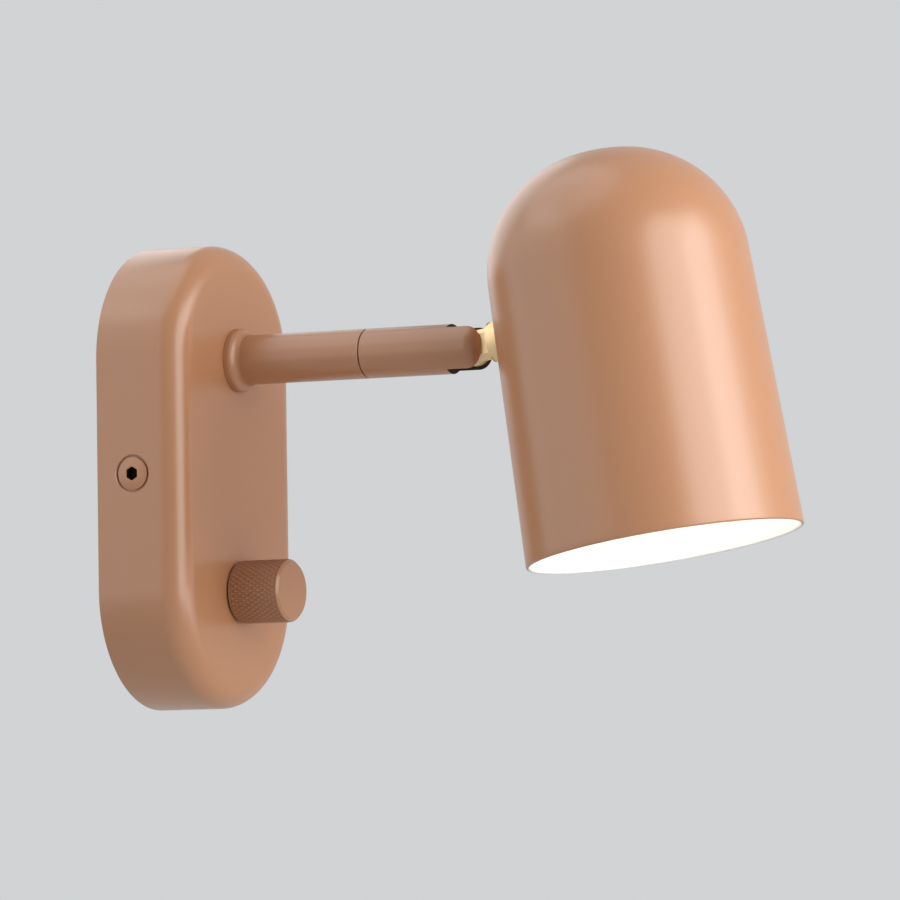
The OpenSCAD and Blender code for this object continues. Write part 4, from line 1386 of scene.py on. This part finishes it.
@dataclass(frozen=True)
class Softbox:
    """A soft studio lamp."""

    name: str
    place: tuple[float, float, float]
    width: float
    height: float
    power: float
    aim: tuple[float, float, float] = (0.0, -0.12, 0.0)
    color: Color = (1.0, 1.0, 1.0)

    def build(self) -> None:
        """Sets the lamp up, unseen by the camera."""
        light = bpy.data.lights.new(self.name, "AREA")
        light.shape = "ELLIPSE"
        light.size = self.width
        light.size_y = self.height
        light.energy = self.power
        light.color = self.color
        lamp = bpy.data.objects.new(self.name, light)
        lamp.location = self.place
        lamp.rotation_euler = (Vector(self.aim) - Vector(self.place)).to_track_quat("-Z", "Y").to_euler()
        lamp.visible_camera = False
        bpy.context.scene.collection.objects.link(lamp)


@dataclass
class Studio:
    """The camera, the lamps, the floor and the flat backdrop."""

    camera_place: tuple[float, float, float] = (-1.838603, -1.071571, -0.119922)
    yaw: float = 62.34
    pitch: float = 3.454
    roll: float = -0.858
    lens: float = 261.59
    backdrop: Color = (0.638, 0.651, 0.665)
    ambient: Color = (0.08, 0.08, 0.08)
    floor_z: float = -0.25
    floor_radius: float = 5.0
    floor_color: Color = (0.62, 0.63, 0.64)
    floor_flatness: float = 0.8
    softboxes: tuple[Softbox, ...] = (
        Softbox("key", (-0.44, -1.51, 0.36), 1.20, 1.70, 19.4),
        Softbox("strip", (0.28, -1.55, 0.36), 0.65, 1.60, 12.4),
        Softbox("edge", (0.68, -1.41, 0.36), 0.60, 1.60, 2.5),
        Softbox("fill", (-0.90, 1.05, 0.26), 2.20, 2.20, 10.5),
        Softbox("rim", (0.73, 1.03, 0.63), 1.20, 1.20, 4.0),
        Softbox("top", (-0.33, 0.50, 1.32), 1.70, 1.70, 9.0),
    )

    def camera(self) -> None:
        """Sets the camera at the photograph's viewing angle."""
        yaw, pitch, roll = (math.radians(a) for a in (self.yaw, self.pitch, self.roll))
        look = Vector((math.sin(yaw) * math.cos(pitch), math.cos(yaw) * math.cos(pitch), math.sin(pitch)))
        right = look.cross(Vector((0, 0, 1))).normalized()
        up = right.cross(look)
        across = math.cos(roll) * right + math.sin(roll) * up
        above = -math.sin(roll) * right + math.cos(roll) * up
        data = bpy.data.cameras.new("camera")
        data.lens = self.lens
        data.sensor_width = 36
        camera = bpy.data.objects.new("camera", data)
        turn = Matrix((across, above, -look)).transposed().to_4x4()
        camera.matrix_world = Matrix.Translation(self.camera_place) @ turn
        bpy.context.scene.collection.objects.link(camera)
        bpy.context.scene.camera = camera

    def seen(self, wiring: Wiring) -> bpy.types.NodeSocket:
        """Tells the rays that see the backdrop from those that light the lamp.

        Args:
            wiring: The wiring of the world or of a material.

        Returns:
            The output that is 1 for the camera's, mirrored and passed rays.
        """
        ray = wiring.add("ShaderNodeLightPath")
        both = wiring.math("ADD", ray.outputs["Is Camera Ray"], ray.outputs["Is Glossy Ray"])
        return wiring.math("MINIMUM", wiring.math("ADD", both, ray.outputs["Is Transmission Ray"]), 1.0)

    def world(self) -> None:
        """Lights the room evenly and shows the flat backdrop to the camera and in reflections."""
        world = bpy.data.worlds.new("room")
        world.use_nodes = True
        world.node_tree.nodes.clear()
        wiring = Wiring(world.node_tree)
        even = wiring.add("ShaderNodeBackground", {"Color": (*self.ambient, 1), "Strength": 1.0})
        flat = wiring.add("ShaderNodeBackground", {"Color": (*self.backdrop, 1), "Strength": 1.0})
        both = wiring.add("ShaderNodeMixShader", {0: self.seen(wiring), 1: even.outputs[0], 2: flat.outputs[0]})
        wiring.add("ShaderNodeOutputWorld", {"Surface": both.outputs[0]})
        bpy.context.scene.world = world

    def floor(self) -> None:
        """Lays a plain pale floor under the lamp."""
        form = bmesh.new()
        bmesh.ops.create_circle(form, cap_ends=True, radius=self.floor_radius, segments=96)
        bmesh.ops.translate(form, verts=form.verts, vec=(0, 0, self.floor_z))
        mesh = bpy.data.meshes.new("floor")
        form.to_mesh(mesh)
        form.free()
        material = bpy.data.materials.new("pale_floor")
        material.use_nodes = True
        material.node_tree.nodes.clear()
        wiring = Wiring(material.node_tree)
        lit = wiring.add("ShaderNodeBsdfDiffuse", {"Color": (*self.floor_color, 1)}).outputs[0]
        flat = wiring.add("ShaderNodeEmission", {"Color": (*self.backdrop, 1), "Strength": 1.0}).outputs[0]
        share = wiring.math("MULTIPLY", self.seen(wiring), self.floor_flatness)
        top = wiring.add("ShaderNodeMixShader", {0: share, 1: lit, 2: flat}).outputs[0]
        below = wiring.add("ShaderNodeNewGeometry").outputs["Backfacing"]
        clear = wiring.add("ShaderNodeBsdfTransparent").outputs[0]
        sides = wiring.add("ShaderNodeMixShader", {0: below, 1: top, 2: clear}).outputs[0]
        wiring.add("ShaderNodeOutputMaterial", {"Surface": sides})
        mesh.materials.append(material)
        shown("floor", mesh)

    def lamps(self) -> None:
        """Hangs the softboxes."""
        for lamp in self.softboxes:
            lamp.build()

    def build(self) -> None:
        """Sets the studio up."""
        self.camera()
        self.world()
        self.floor()
        self.lamps()
        bpy.context.scene.view_settings.view_transform = "Standard"


class Hardware:
    """The frame's own pieces that keep their shape and only get a finish."""

    def build(self) -> None:
        """Dresses each node in its slot's finish."""
        slots = {part["node"]: Slot(part["material_slot"]) for part in frame["record"]["subparts"]}
        for name, node in frame["nodes"].items():
            material = FINISH_OF[slots[name]].material()
            if node.material_slots:
                for place in node.material_slots:
                    place.material = material
            else:
                node.data.materials.append(material)
            LOG.info("%s: finished in %s", name, material.name)


def main() -> None:
    """Builds the lamp on its frame, sub-assembly by sub-assembly, in the studio."""
    logging.basicConfig(level=logging.INFO, format="%(message)s", stream=sys.stdout)
    shade = Shade()
    Studio().build()
    Hardware().build()
    for part in (WallBase(), DimmerKnob(), Arm(), shade, Knuckle(shade), Bulb(shade)):
        part.build()
        LOG.info("%s done", type(part).__name__)


if __name__ == "__main__":
    main()
